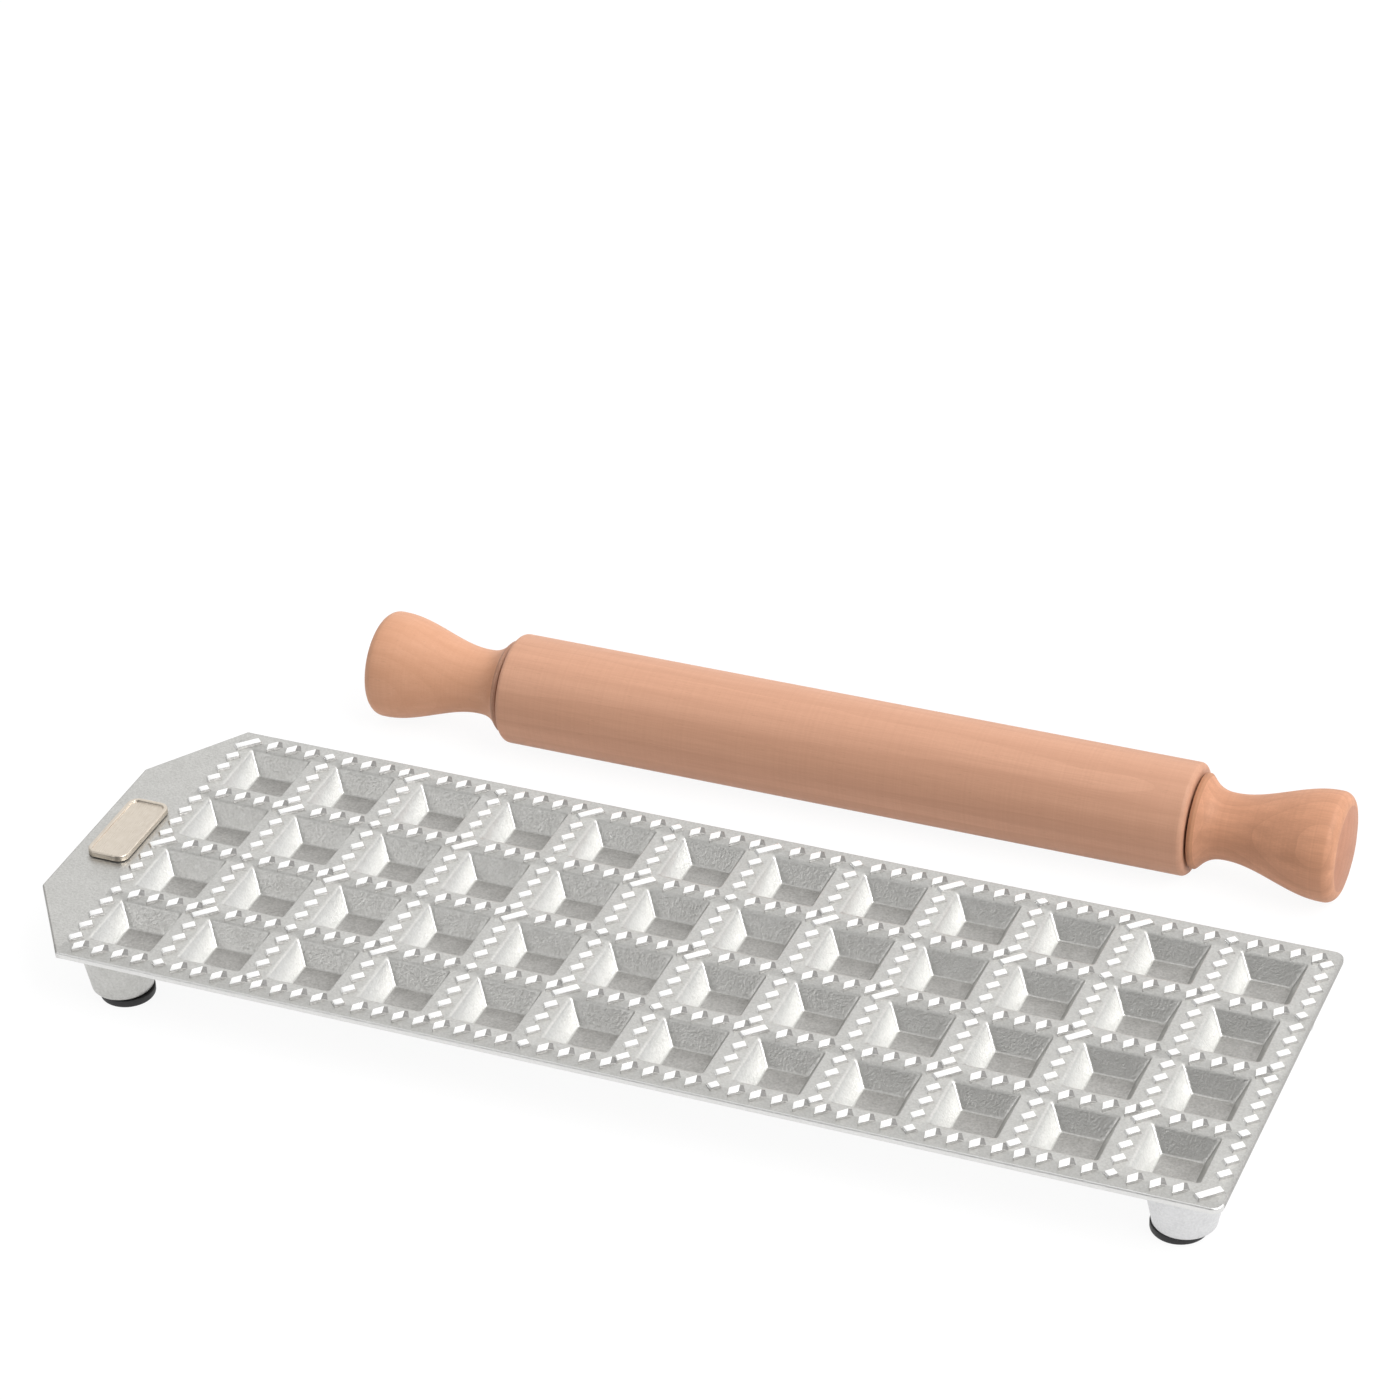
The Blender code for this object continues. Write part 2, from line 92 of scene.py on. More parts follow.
def corner_arc(before, corner, after, radius, steps):
    """Arc that rounds one corner.

    The arc's centre lies on the corner's bisector, at radius / sin(half angle). Its points
    turn evenly from the first tangent point to the last one.
    """
    before, corner, after = (np.array(point, float) for point in (before, corner, after))
    back = (before - corner) / np.linalg.norm(before - corner)
    ahead = (after - corner) / np.linalg.norm(after - corner)
    half_angle = math.acos(np.clip(back @ ahead, -1, 1)) / 2
    bisector = (back + ahead) / np.linalg.norm(back + ahead)
    centre = corner + bisector * radius / math.sin(half_angle)
    reach = radius / math.tan(half_angle)
    start = corner + back * reach - centre
    end = corner + ahead * reach - centre
    sweep = math.pi - 2 * half_angle
    share = np.linspace(0, 1, steps + 1)[:, None]
    turned_points = np.sin((1 - share) * sweep) * start + np.sin(share * sweep) * end
    return centre + turned_points / math.sin(sweep)


def rounded_line(points, radii, steps=ARC_STEPS):
    """A line through the points, each corner with a radius over 0 replaced by its arc."""
    parts = []
    last = len(points) - 1
    for index, (point, radius) in enumerate(zip(points, radii)):
        if radius > 0 and 0 < index < last:
            parts.append(corner_arc(points[index - 1], point, points[index + 1], radius, steps))
        else:
            parts.append(np.array([point], float))
    return np.concatenate(parts)


# %% Faces of a grid
def grid_faces(rows, columns, closed_rows=False):
    """Corner numbers of the quads between the rings of a grid.

    Point (row, column) has the number row * columns + column. The last column joins the
    first one, and closed_rows joins the last ring to the first one as well.
    """
    row = np.arange(rows if closed_rows else rows - 1)[:, None]
    column = np.arange(columns)[None, :]
    next_row = (row + 1) % rows
    next_column = (column + 1) % columns
    corners = [row * columns + column, row * columns + next_column,
               next_row * columns + next_column, next_row * columns + column]
    return np.stack(corners, axis=-1).reshape(-1, 4)


# %% From arrays to an object
MERGE_DISTANCE = 1e-6


def add_piece(name, points, faces, finishes, body, stands_for=(), crease=35,
              finish_of_face=None):
    """Make one piece from an array of points and a list or array of faces.

    Doubled points along seams and at poles are merged, and the normals are turned outwards.
    Edges sharper than the crease angle, in degrees, stay sharp.
    """
    mesh = bpy.data.meshes.new(name)
    mesh.from_pydata(points.reshape(-1, 3).tolist(), [], list(faces))
    if finish_of_face is not None:
        mesh.polygons.foreach_set("material_index", finish_of_face.astype(np.int32))
    form = bmesh.new()
    form.from_mesh(mesh)
    bmesh.ops.remove_doubles(form, verts=form.verts, dist=MERGE_DISTANCE)
    bmesh.ops.recalc_face_normals(form, faces=form.faces)
    form.to_mesh(mesh)
    form.free()
    mesh.shade_smooth()
    mesh.set_sharp_from_angle(angle=math.radians(crease))
    for finish in finishes:
        mesh.materials.append(finish)
    piece = bpy.data.objects.new(name, mesh)
    bpy.context.scene.collection.objects.link(piece)
    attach(piece, body)
    if stands_for:
        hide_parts(*stands_for)
    print(name, "has", len(mesh.polygons), "faces")


# %% [markdown]
# A finish is a small network of nodes. A few helpers keep the networks short: one adds a
# node with its inputs, one starts a Principled material, one links what drives its surface,
# and the rest make noise, ramps and mixtures. Every pattern on a piece reads Object
# coordinates, in metres, so its scale is that of the real surface, and it stays in place
# when a piece moves.

# %% Nodes and finishes
def feed(tree, value, socket):
    """Link another node's output to a socket, or set the socket to a plain value."""
    if isinstance(value, bpy.types.NodeSocket):
        tree.links.new(value, socket)
    else:
        socket.default_value = value


def add_node(tree, kind, inputs=None, **settings):
    """A node of one kind, with its settings; an input is a value or another node's output."""
    node = tree.nodes.new(kind)
    for key, value in settings.items():
        setattr(node, key, value)
    for socket, value in (inputs or {}).items():
        feed(tree, value, node.inputs[socket])
    return node


def start_finish(name, **values):
    """A material with one Principled shader, and the tree and shader to build on."""
    material = bpy.data.materials.new(name)
    material.use_nodes = True
    tree = material.node_tree
    shader = tree.nodes["Principled BSDF"]
    for socket, value in values.items():
        shader.inputs[socket.replace("_", " ")].default_value = value
    return material, tree, shader


def set_surface(tree, shader, colour, roughness, height=None, depth=0.0):
    """Drive the shader's colour and roughness, and let a height pattern tilt its shading.

    The depth of the pattern is in metres. Without one, the shading stays smooth.
    """
    tree.links.new(colour, shader.inputs["Base Color"])
    tree.links.new(roughness, shader.inputs["Roughness"])
    if depth:
        bump = add_node(tree, "ShaderNodeBump", {"Height": height, "Strength": 1.0, "Distance": depth})
        tree.links.new(bump.outputs["Normal"], shader.inputs["Normal"])


# %% Patterns, ramps and mixtures
def object_points(tree, stretch=(1, 1, 1), centre=(0, 0, 0), turn=(0, 0, 0)):
    """Object coordinates about a centre, turned and then stretched."""
    where = add_node(tree, "ShaderNodeTexCoord").outputs["Object"]
    move = add_node(tree, "ShaderNodeMapping", {"Vector": where, "Location": [-c for c in centre]})
    inputs = {"Vector": move.outputs["Vector"], "Rotation": turn, "Scale": stretch}
    return add_node(tree, "ShaderNodeMapping", inputs).outputs["Vector"]


def axis_of(tree, vector, axis):
    """The part of a vector that lies along one axis."""
    return add_node(tree, "ShaderNodeSeparateXYZ", {"Vector": vector}).outputs[axis]


def noise(tree, points, scale=1.0, detail=2.0, roughness=0.5):
    """Cloudy noise from 0 to 1, with scale lumps to one unit of the points."""
    inputs = {"Vector": points, "Scale": scale, "Detail": detail, "Roughness": roughness}
    return add_node(tree, "ShaderNodeTexNoise", inputs).outputs["Fac"]


def remap(tree, value, low, high, to_low=0.0, to_high=1.0):
    """The value's range from low to high, stretched to a new range and held inside it."""
    inputs = {"Value": value, "From Min": low, "From Max": high, "To Min": to_low, "To Max": to_high}
    return add_node(tree, "ShaderNodeMapRange", inputs).outputs["Result"]


NOISE_RANGE = (0.3, 0.7)


def spread(tree, pattern, to_low=0.0, to_high=1.0):
    """A noise, most of whose values lie in the noise range, stretched to a new range."""
    return remap(tree, pattern, *NOISE_RANGE, to_low, to_high)


MIX_SOCKETS = {"RGBA": (0, 6, 7, 2), "FLOAT": (0, 2, 3, 0)}


def mix(tree, share, first, second, kind="RGBA", blend="MIX"):
    """Two colours or numbers mixed by a share; each is a value or another node's output."""
    *places, result = MIX_SOCKETS[kind]
    inputs = dict(zip(places, (share, first, second)))
    return add_node(tree, "ShaderNodeMix", inputs, data_type=kind, blend_type=blend).outputs[result]


def combine(tree, operation, first, *others):
    """The sum, product, minimum or maximum of several node outputs, two at a time."""
    for other in others:
        node = add_node(tree, "ShaderNodeMath", {0: first, 1: other}, operation=operation)
        first = node.outputs["Value"]
    return first


# %% [markdown]
# The tray's plate carries a grid of 12 by 4 cells. One cell is a square of land with a
# pocket sunk into it. Booleans could cut the pockets, but they leave long thin faces and
# sharp edges. Here each cell is a stack of rings instead: the outermost ring is the cell's
# own square, and the next ones follow the pocket's section over its rounded lip, down the
# sloping wall and round the floor. Rounded squares of one family fit all of them.

# %% Sizes of the tray
CELL = 0.026
COLUMNS = 12
ROWS = 4
TOOTH_HEIGHT = 0.0007
PLATE_THICKNESS = 0.0018
SIDE_MARGIN = 0.0048
END_MARGIN = 0.0032


def box_of(node):
    """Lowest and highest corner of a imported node, as arrays."""
    return [np.array(corner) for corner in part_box(node)]


tray_low, tray_high = box_of("mould_tray")
tooth_top = tray_high[2]
land = tooth_top - TOOTH_HEIGHT
underside = land - PLATE_THICKNESS
grid_right = tray_high[0] - END_MARGIN
grid_left = grid_right - COLUMNS * CELL
grid_front = tray_low[1] + SIDE_MARGIN
grid_back = grid_front + ROWS * CELL
print("grid from", (grid_left, grid_front), "to", (grid_right, grid_back))

# %% Rings of a cell
TINY = 1e-9
SIDE_MARKS = np.array([-1, -0.985, -0.96, -0.925, -0.87, -0.6, -0.2, 0.2, 0.6, 0.87, 0.925, 0.96, 0.985])
ONES = np.ones_like(SIDE_MARKS)
UNIT_SQUARE = np.concatenate([
    np.stack([SIDE_MARKS, -ONES], 1), np.stack([ONES, SIDE_MARKS], 1),
    np.stack([-SIDE_MARKS, ONES], 1), np.stack([-ONES, -SIDE_MARKS], 1)])


def square_rings(half_sides, corner_radii):
    """Rounded squares, one for each half side and corner radius.

    A point of the unit square is scaled by the half side. Its nearest point on the inner
    square, of half side less the radius, is its root, and it is drawn in along the line
    from there until it lies one radius away.
    """
    half = half_sides[:, None, None]
    radius = corner_radii[:, None, None]
    wide = half * UNIT_SQUARE
    root = np.clip(wide, radius - half, half - radius)
    away = wide - root
    length = np.maximum(np.linalg.norm(away, axis=2, keepdims=True), TINY)
    return root + away / length * np.minimum(radius, length)


# %% Pocket sections
POCKET_MOUTH = 0.0187
POCKET_FLOOR = 0.0110
POCKET_DEPTH = 0.0057
POCKET_SHIFT = (-0.0003, 0.0005)
RIGHT_WALL_TRIM = 0.0006
FLOOR_STRETCH = 0.0003
CAST_WALL = 0.0015
LIP_RADIUS = 0.0015
RIGHT_LIP_RADIUS = 0.0007
FLOOR_RADIUS = 0.0007
SHELL_RADIUS = 0.0016
POCKET_CORNER = 0.0006
RIGHT_SIDE_FROM = 0.87
SHELL_STEPS = 3

wall_lean = (POCKET_MOUTH - POCKET_FLOOR) / 2 / POCKET_DEPTH
shell_step = CAST_WALL * math.hypot(1, wall_lean)


def pocket_half(depth):
    """Half side of the pocket at a depth below the land, which shrinks evenly downwards."""
    return POCKET_MOUTH / 2 - wall_lean * depth


def pocket_section(lip_radius):
    """Section of the hollow as (half side, height), from the cell's edge to the middle."""
    corners = [(CELL / 2, land), (pocket_half(0), land),
               (pocket_half(POCKET_DEPTH), land - POCKET_DEPTH), (0, land - POCKET_DEPTH)]
    return rounded_line(corners, (0, lip_radius, FLOOR_RADIUS, 0))


def shell_section():
    """Section of the pocket's outer wall under the plate, one wall thickness outside."""
    base = POCKET_DEPTH + CAST_WALL
    corners = [(CELL / 2, underside), (pocket_half(PLATE_THICKNESS) + shell_step, underside),
               (pocket_half(base) + shell_step, land - base), (0, land - base)]
    return rounded_line(corners, (0, SHELL_RADIUS, SHELL_RADIUS, 0), SHELL_STEPS)


# %% Cells
def lifted(flat, heights):
    """Points (ring, place, axis) from flat places and one height for each ring."""
    heights = np.broadcast_to(np.reshape(heights, (-1, 1, 1)), flat.shape[:2] + (1,))
    return np.concatenate([flat, heights], axis=2)


def one_cell(section, corner_radius):
    """Points (ring, place, axis) of one cell about its middle.

    The left and right walls are steeper than the others: the floor is stretched sideways,
    and the right wall is drawn in at the mouth as well.
    """
    half, height = section.T
    inner = half < CELL / 2 - MERGE_DISTANCE
    radii = np.where(inner, np.minimum(corner_radius, half / 2), 0)
    rings = square_rings(half, radii)
    height_share = np.clip((half - half[-2]) / (POCKET_MOUTH / 2 - half[-2]), 0, 1)
    left_grow = FLOOR_STRETCH * (1 - height_share)
    right_grow = left_grow - RIGHT_WALL_TRIM * height_share
    grow = np.where(rings[:, :, 0] > 0, right_grow[:, None], left_grow[:, None])
    rings[:, :, 0] *= 1 + np.where(inner, 1 / half.clip(MERGE_DISTANCE), 0)[:, None] * grow
    return lifted(rings + np.where(inner[:, None], POCKET_SHIFT, 0)[:, None, :], height)


def cell_grid(section, right_section, corner_radius):
    """Points (cell, ring, place, axis) of all cells.

    Towards a cell's right side, from a mark on, the right section takes over.
    """
    on_right = np.clip((UNIT_SQUARE[:, 0] - RIGHT_SIDE_FROM) / (1 - RIGHT_SIDE_FROM), 0, 1)[:, None]
    left_part = one_cell(section, corner_radius) * (1 - on_right)
    cell = left_part + one_cell(right_section, corner_radius) * on_right
    column, row = np.meshgrid(np.arange(COLUMNS), np.arange(ROWS), indexing="ij")
    centres = np.stack([grid_left + (column.ravel() + 0.5) * CELL,
                        grid_front + (row.ravel() + 0.5) * CELL, np.zeros(column.size)], 1)
    return centres[:, None, None, :] + cell[None]


def cell_faces(points):
    """Faces of every cell, numbered cell by cell."""
    cells, rings, places = points.shape[:3]
    one = grid_faces(rings, places)
    return (one[None] + np.arange(cells)[:, None, None] * rings * places).reshape(-1, 4)


upper_cells = cell_grid(pocket_section(LIP_RADIUS), pocket_section(RIGHT_LIP_RADIUS), POCKET_CORNER)
lower_cells = cell_grid(shell_section(), shell_section(), POCKET_CORNER + CAST_WALL)
print("cells hold", upper_cells.size // 3, "points above and", lower_cells.size // 3, "below")

# %% [markdown]
# Outside the grid the plate has narrow margins, rounded corners on the right and a wide
# pointed tab on the left. The margin is one band of rings from the grid's border out to the
# plate's edge, over the edge's two small rounds and back below, so that it closes the top
# surface and the underside into one skin. Each point of the border has one partner on the
# outline, which is why the outline is walked in the same number of steps.

# %% Outline of the plate
END_CORNER_RADIUS = 0.0029
TAB_SHOULDER = 0.0018
TAB_END_WIDTH = 0.0598
TAB_CORNER_RADIUS = 0.0012
EDGE_RADIUS = 0.00045
EDGE_INSET = 0.0005
END_ARC_STEPS = 8
TAB_ARC_STEPS = 7
TAB_SIDE_STEPS = 6


def stretch_of(start, end, count):
    """Evenly spaced points from start towards end, which isn't included."""
    share = np.arange(count)[:, None] / count
    return np.array(start) * (1 - share) + np.array(end) * share


def border_walk():
    """Once round the grid's border, anticlockwise from its front left corner."""
    marks = (SIDE_MARKS + 1) / 2 * CELL
    along = (np.arange(COLUMNS)[:, None] * CELL + marks).ravel()
    across = (np.arange(ROWS)[:, None] * CELL + marks).ravel()
    front = np.stack([grid_left + along, np.full_like(along, grid_front)], 1)
    right = np.stack([np.full_like(across, grid_right), grid_front + across], 1)
    back = np.stack([grid_right - along, np.full_like(along, grid_back)], 1)
    left = np.stack([np.full_like(across, grid_left), grid_back - across], 1)
    return np.concatenate([front, right, back, left])


def outline_walk():
    """Once round the plate, with as many steps on each side as the border has."""
    marks = len(SIDE_MARKS)
    low, high = tray_low[:2], tray_high[:2]
    middle = (grid_front + grid_back) / 2
    shoulder = grid_left - TAB_SHOULDER
    front_end = (high[0] - END_CORNER_RADIUS, low[1])
    back_start = (high[0] - END_CORNER_RADIUS, high[1])
    shoulder_front, shoulder_back = (shoulder, low[1]), (shoulder, high[1])
    tab_front = (low[0], middle - TAB_END_WIDTH / 2)
    tab_back = (low[0], middle + TAB_END_WIDTH / 2)
    front_arc = corner_arc(front_end, (high[0], low[1]), high, END_CORNER_RADIUS, END_ARC_STEPS)
    back_arc = corner_arc((high[0], low[1]), high, back_start, END_CORNER_RADIUS, END_ARC_STEPS)
    tab_back_arc = corner_arc(shoulder_back, tab_back, tab_front, TAB_CORNER_RADIUS, TAB_ARC_STEPS)
    tab_front_arc = corner_arc(tab_back, tab_front, shoulder_front, TAB_CORNER_RADIUS, TAB_ARC_STEPS)
    return np.concatenate([
        stretch_of(shoulder_front, front_end, COLUMNS * marks),
        front_arc[:-1],
        stretch_of(front_arc[-1], back_arc[0], ROWS * marks - 2 * END_ARC_STEPS),
        back_arc[:-1],
        stretch_of(back_start, shoulder_back, COLUMNS * marks),
        stretch_of(shoulder_back, tab_back_arc[0], TAB_SIDE_STEPS),
        tab_back_arc[:-1],
        stretch_of(tab_back_arc[-1], tab_front_arc[0], ROWS * marks - 2 * (TAB_ARC_STEPS + TAB_SIDE_STEPS)),
        tab_front_arc[:-1],
        stretch_of(tab_front_arc[-1], shoulder_front, TAB_SIDE_STEPS)])


# %% Rings of the margin
def margin_rings():
    """Rings of the margin: border above, rounded edge, border below.

    A ring that lies inset from the outline is moved in along the outline's normal, which
    is square to the line between the two neighbours of a point.
    """
    border, outline = border_walk(), outline_walk()
    chord = np.roll(outline, -1, axis=0) - np.roll(outline, 1, axis=0)
    normal = np.stack([chord[:, 1], -chord[:, 0]], 1) / np.linalg.norm(chord, axis=1, keepdims=True)
    edge = rounded_line([(EDGE_INSET, land), (0, land), (0, underside), (EDGE_INSET, underside)],
                        (0, EDGE_RADIUS, EDGE_RADIUS, 0))
    inset, height = edge.T
    flat = outline[None] - normal[None] * inset[:, None, None]
    flat = np.concatenate([border[None], flat, border[None]])
    return lifted(flat, np.concatenate([[land], height, [underside]]))


# %% [markdown]
# Cast aluminium is a pale grey metal whose skin is finely grained, as the sand left it. One
# colour with a roughness would look like plastic film, so two noises of unlike size mottle
# the colour, and the finer one also gives the roughness and a shallow bump. Shade is painted
# into the colour as well: ramps worked out from the place on the tray darken the land in
# front of each long ridge and on the front and right margins, and darken the pockets' left
# walls towards their lips.

# %% Painted shade of the casting
# Painted shade: how far the colour is darkened, and where its ramps start and end.
FRONT_PAINTED_SHADE = 0.85
RIGHT_PAINTED_SHADE = 0.89
WALL_LIP_PAINTED_SHADE = 0.80
WALL_SHADE_DEPTH = 0.7
STRIP_START = (-0.0032, -0.0022)
STRIP_END = (0.0, 0.0008)
TAB_FADE = (-0.0020, -0.0005)
END_FADE = (0.0005, 0.0015)
FRONT_MARGIN = (-0.0022, -0.0010)
RIGHT_MARGIN = (0.0010, 0.0026)


def ramp_at(tree, value, line, ends, to_low, to_high):
    """A ramp that starts and ends at these two distances from a line of the tray."""
    return remap(tree, value, line + ends[0], line + ends[1], to_low, to_high)


def land_painted_shade(tree, points):
    """A factor under 1 where shade is painted on the land.

    The painted shade lies along the front of each long ridge, where the place along Y,
    wrapped to one cell, lies between two ramps, and on the margins in front and to the right
    of the grid.
    """
    sideways, depth = axis_of(tree, points, "X"), axis_of(tree, points, "Y")
    start = grid_front + STRIP_END[1]
    wrapped = add_node(tree, "ShaderNodeMath", {0: depth, 1: start + CELL, 2: start}, operation="WRAP")
    in_cell, ridge = wrapped.outputs["Value"], grid_front + CELL
    strips = combine(tree, "MAXIMUM",
                     ramp_at(tree, in_cell, ridge, STRIP_START, 1.0, FRONT_PAINTED_SHADE),
                     ramp_at(tree, in_cell, ridge, STRIP_END, FRONT_PAINTED_SHADE, 1.0),
                     ramp_at(tree, sideways, grid_left, TAB_FADE, 1.0, 0.0),
                     ramp_at(tree, sideways, grid_right, END_FADE, 0.0, 1.0))
    front = ramp_at(tree, depth, grid_front, FRONT_MARGIN, FRONT_PAINTED_SHADE, 1.0)
    right = ramp_at(tree, sideways, grid_right, RIGHT_MARGIN, 1.0, RIGHT_PAINTED_SHADE)
    return combine(tree, "MINIMUM", strips, front, right)


def wall_painted_shade(tree, points):
    """A factor of painted shade that falls from 1 low in the pocket to the lip's shade at the land."""
    from_height = land - POCKET_DEPTH * WALL_SHADE_DEPTH
    return remap(tree, axis_of(tree, points, "Z"), from_height, land, 1.0, WALL_LIP_PAINTED_SHADE)


# %% [markdown]
# The metal doesn't look alike everywhere, and each kind has its colours here. The tops of
# the teeth are ground flat, so they are bright and smooth. Their flanks and the pockets'
# flat floors are darker than the skin, as painted shade, and their cut right ends are
# darkest, painted shade too. The plate's edge is bright in front, a painted highlight, and
# dark elsewhere, painted shade. The legs and the pockets' left walls lack the land's painted
# shade strips, and the right legs and those walls are paler, as painted light.

# %% Metal of the casting
GRAIN_SCALE = 1500
CLOUD_SCALE = 160
CLOUD_SHARE = 0.3
ROUGHNESS_SPREAD = 0.05
GRAIN_DEPTH = 0.00012
CAST_PALE = (0.635, 0.63, 0.61, 1)
CAST_DARK = (0.47, 0.465, 0.445, 1)
# Painted light and shade: darker floors, flanks, edges and cut ends are painted shade, the front edge's
# brightness a painted highlight, the paler right legs and left walls painted light.
CAST_FINISHES = {
    "cast_skin": (CAST_PALE, CAST_DARK, 0.36, land_painted_shade),
    "left_leg_skin": (CAST_PALE, CAST_DARK, 0.36, None),
    "right_leg_painted_light_skin": ((0.79, 0.79, 0.795, 1), (0.64, 0.64, 0.645, 1), 0.36, None),
    "painted_light_wall_skin": ((0.715, 0.715, 0.705, 1), (0.56, 0.56, 0.55, 1), 0.36, wall_painted_shade),
    "cut_end_painted_shade": ((0.355, 0.35, 0.34, 1), (0.23, 0.225, 0.22, 1), 0.50, land_painted_shade),
    "groove_painted_shade": ((0.54, 0.53, 0.51, 1), (0.38, 0.37, 0.355, 1), 0.45, land_painted_shade),
    "edge_painted_highlight": ((0.95, 0.945, 0.93, 1), (0.86, 0.855, 0.84, 1), 0.34, land_painted_shade),
    "pocket_floor_painted_shade": ((0.56, 0.55, 0.53, 1), (0.34, 0.33, 0.315, 1), 0.40, land_painted_shade)}


def cast_finish(name, pale, dark, roughness, shade):
    """Sand-cast skin: mottled colour and roughness over a fine grain.

    The shade is a function whose factor paints shade on places of the skin, or None.
    """
    material, tree, shader = start_finish(name, Metallic=0.92)
    points = object_points(tree)
    grain = noise(tree, points, GRAIN_SCALE, detail=3.0, roughness=0.65)
    cloud = noise(tree, points, CLOUD_SCALE, detail=3.0, roughness=0.6)
    mottle = mix(tree, spread(tree, grain), dark, pale)
    drift = mix(tree, spread(tree, cloud), dark, pale)
    colour = mix(tree, CLOUD_SHARE, mottle, drift)
    if shade:
        colour = mix(tree, 1.0, colour, shade(tree, points), blend="MULTIPLY")
    gloss = spread(tree, grain, roughness + ROUGHNESS_SPREAD, roughness - ROUGHNESS_SPREAD)
    set_surface(tree, shader, colour, gloss, grain, GRAIN_DEPTH)
    return material


def streaked_finish(name, stretch, colours, roughness, detail=3.0, contrast=(0, 1), depth=0, **values):
    """Fine streaks of two colours and two roughnesses, drawn out where the stretch is small."""
    material, tree, shader = start_finish(name, **values)
    streaks = noise(tree, object_points(tree, stretch), detail=detail)
    colour = mix(tree, remap(tree, streaks, *contrast), *colours)
    set_surface(tree, shader, colour, spread(tree, streaks, *roughness), streaks, depth)
    return material


metals = {name: cast_finish(name, *look) for name, look in CAST_FINISHES.items()}
metals["ground_metal"] = streaked_finish(
    "ground_metal", (300, 6000, 300), [(0.97, 0.97, 0.96, 1), (0.99, 0.99, 0.98, 1)], (0.22, 0.26),
    detail=2.0, contrast=NOISE_RANGE, Metallic=1.0)
print("metal finishes", list(metals))

# %% [markdown]
# The casting joins the upper cells, the lower cells and the margin. Neighbours have the same
# points along their borders, so merging doubled points closes them into one skin. A face's
# finish depends on where it lies. The numbers of the faces run place by place along a band
# and band by band, so a division tells the band and the place.

# %% The casting
WALL_BAND = 1 + ARC_STEPS
LEFT_SIDE = 3
FLAT_BANDS = 2


def cell_finish(skin, floor, painted_light_wall):
    """Finish of each face of the upper cells.

    Past the land and the lip's arc comes the wall's band; its neighbours count as wall too.
    The innermost band is the floor.
    """
    cells, rings, places = upper_cells.shape[:3]
    band, place = np.divmod(np.arange(cells * (rings - 1) * places), places)
    band %= rings - 1
    on_wall = (abs(band - WALL_BAND) <= 1) & (place // len(SIDE_MARKS) == LEFT_SIDE)
    # The left walls take a paler skin as painted light, with painted shade towards their lips.
    return np.select([on_wall, band == rings - 2], [painted_light_wall, floor], skin)


def margin_finish(rings, places, skin, edge_painted_shade, edge_painted_highlight):
    """Finish of each face of the margin: a painted highlight on the edge in front, painted shade
    on the edge elsewhere.

    The front runs on round the front right corner.
    """
    band, place = np.divmod(np.arange((rings - 1) * places), places)
    on_edge = (band >= FLAT_BANDS) & (band < rings - 1 - FLAT_BANDS)
    in_front = place < COLUMNS * len(SIDE_MARKS) + END_ARC_STEPS
    return np.select([on_edge & in_front, on_edge], [edge_painted_highlight, edge_painted_shade], skin)


def add_casting():
    """Top cells, underside cells and margin, merged into one closed skin."""
    names = ("cast_skin", "pocket_floor_painted_shade", "groove_painted_shade", "edge_painted_highlight", "painted_light_wall_skin")
    # The floor's darker colour is painted shade, and the edges carry a painted highlight in front and painted
    # shade elsewhere.
    skin, floor, edge_painted_shade, edge_painted_highlight, painted_light_wall = range(len(names))
    margin = margin_rings()
    parts = [upper_cells.reshape(-1, 3), lower_cells.reshape(-1, 3), margin.reshape(-1, 3)]
    starts = np.cumsum([0] + [len(part) for part in parts[:-1]])
    faces = [cell_faces(upper_cells), cell_faces(lower_cells), grid_faces(*margin.shape[:2])]
    all_faces = np.concatenate([face + start for face, start in zip(faces, starts)])
    finish = np.concatenate([cell_finish(skin, floor, painted_light_wall), np.full(len(faces[1]), skin),
                             margin_finish(*margin.shape[:2], skin, edge_painted_shade, edge_painted_highlight)])
    add_piece("tray_casting", np.concatenate(parts), all_faces, [metals[name] for name in names],
              "mould", ["mould_tray"], crease=60, finish_of_face=finish)


add_casting()

# %% [markdown]
# The teeth are what is left of the ridges after slanting grooves were cut through them. All
# of them follow one rule, so they are worked out rather than placed: parallel stripes run at
# 45 degrees over the whole grid, and wherever a stripe crosses a ridge a tooth stands. Near
# a crossing of two ridges a stripe meets both at almost one place, and there the two teeth
# are one long bar or a small diamond.

# %% Places of the teeth
TEETH_PER_CELL = 4.5
TOOTH_PITCH = CELL / TEETH_PER_CELL
STRIPE_SHIFT = 0.00255
TOOTH_WIDTH = 0.0022
LONG_RIDGE_WIDTH = 0.0025
LONG_RIDGE_RUN = 0.0031
CROSS_RIDGE_RUN = 0.0035
LONG_RIDGE_SHIFT = (0.0001, -0.0003)
BAR_RUN = 0.0070
DIAMOND_RUN = 0.0026
LONG_RIDGE_CUT = math.radians(-76)
CROSS_RIDGE_CUT = math.radians(-53)
SQUARE_CUT = math.radians(-45)
CORNER_BAR_PLACE = (-0.0013, 0.0006)


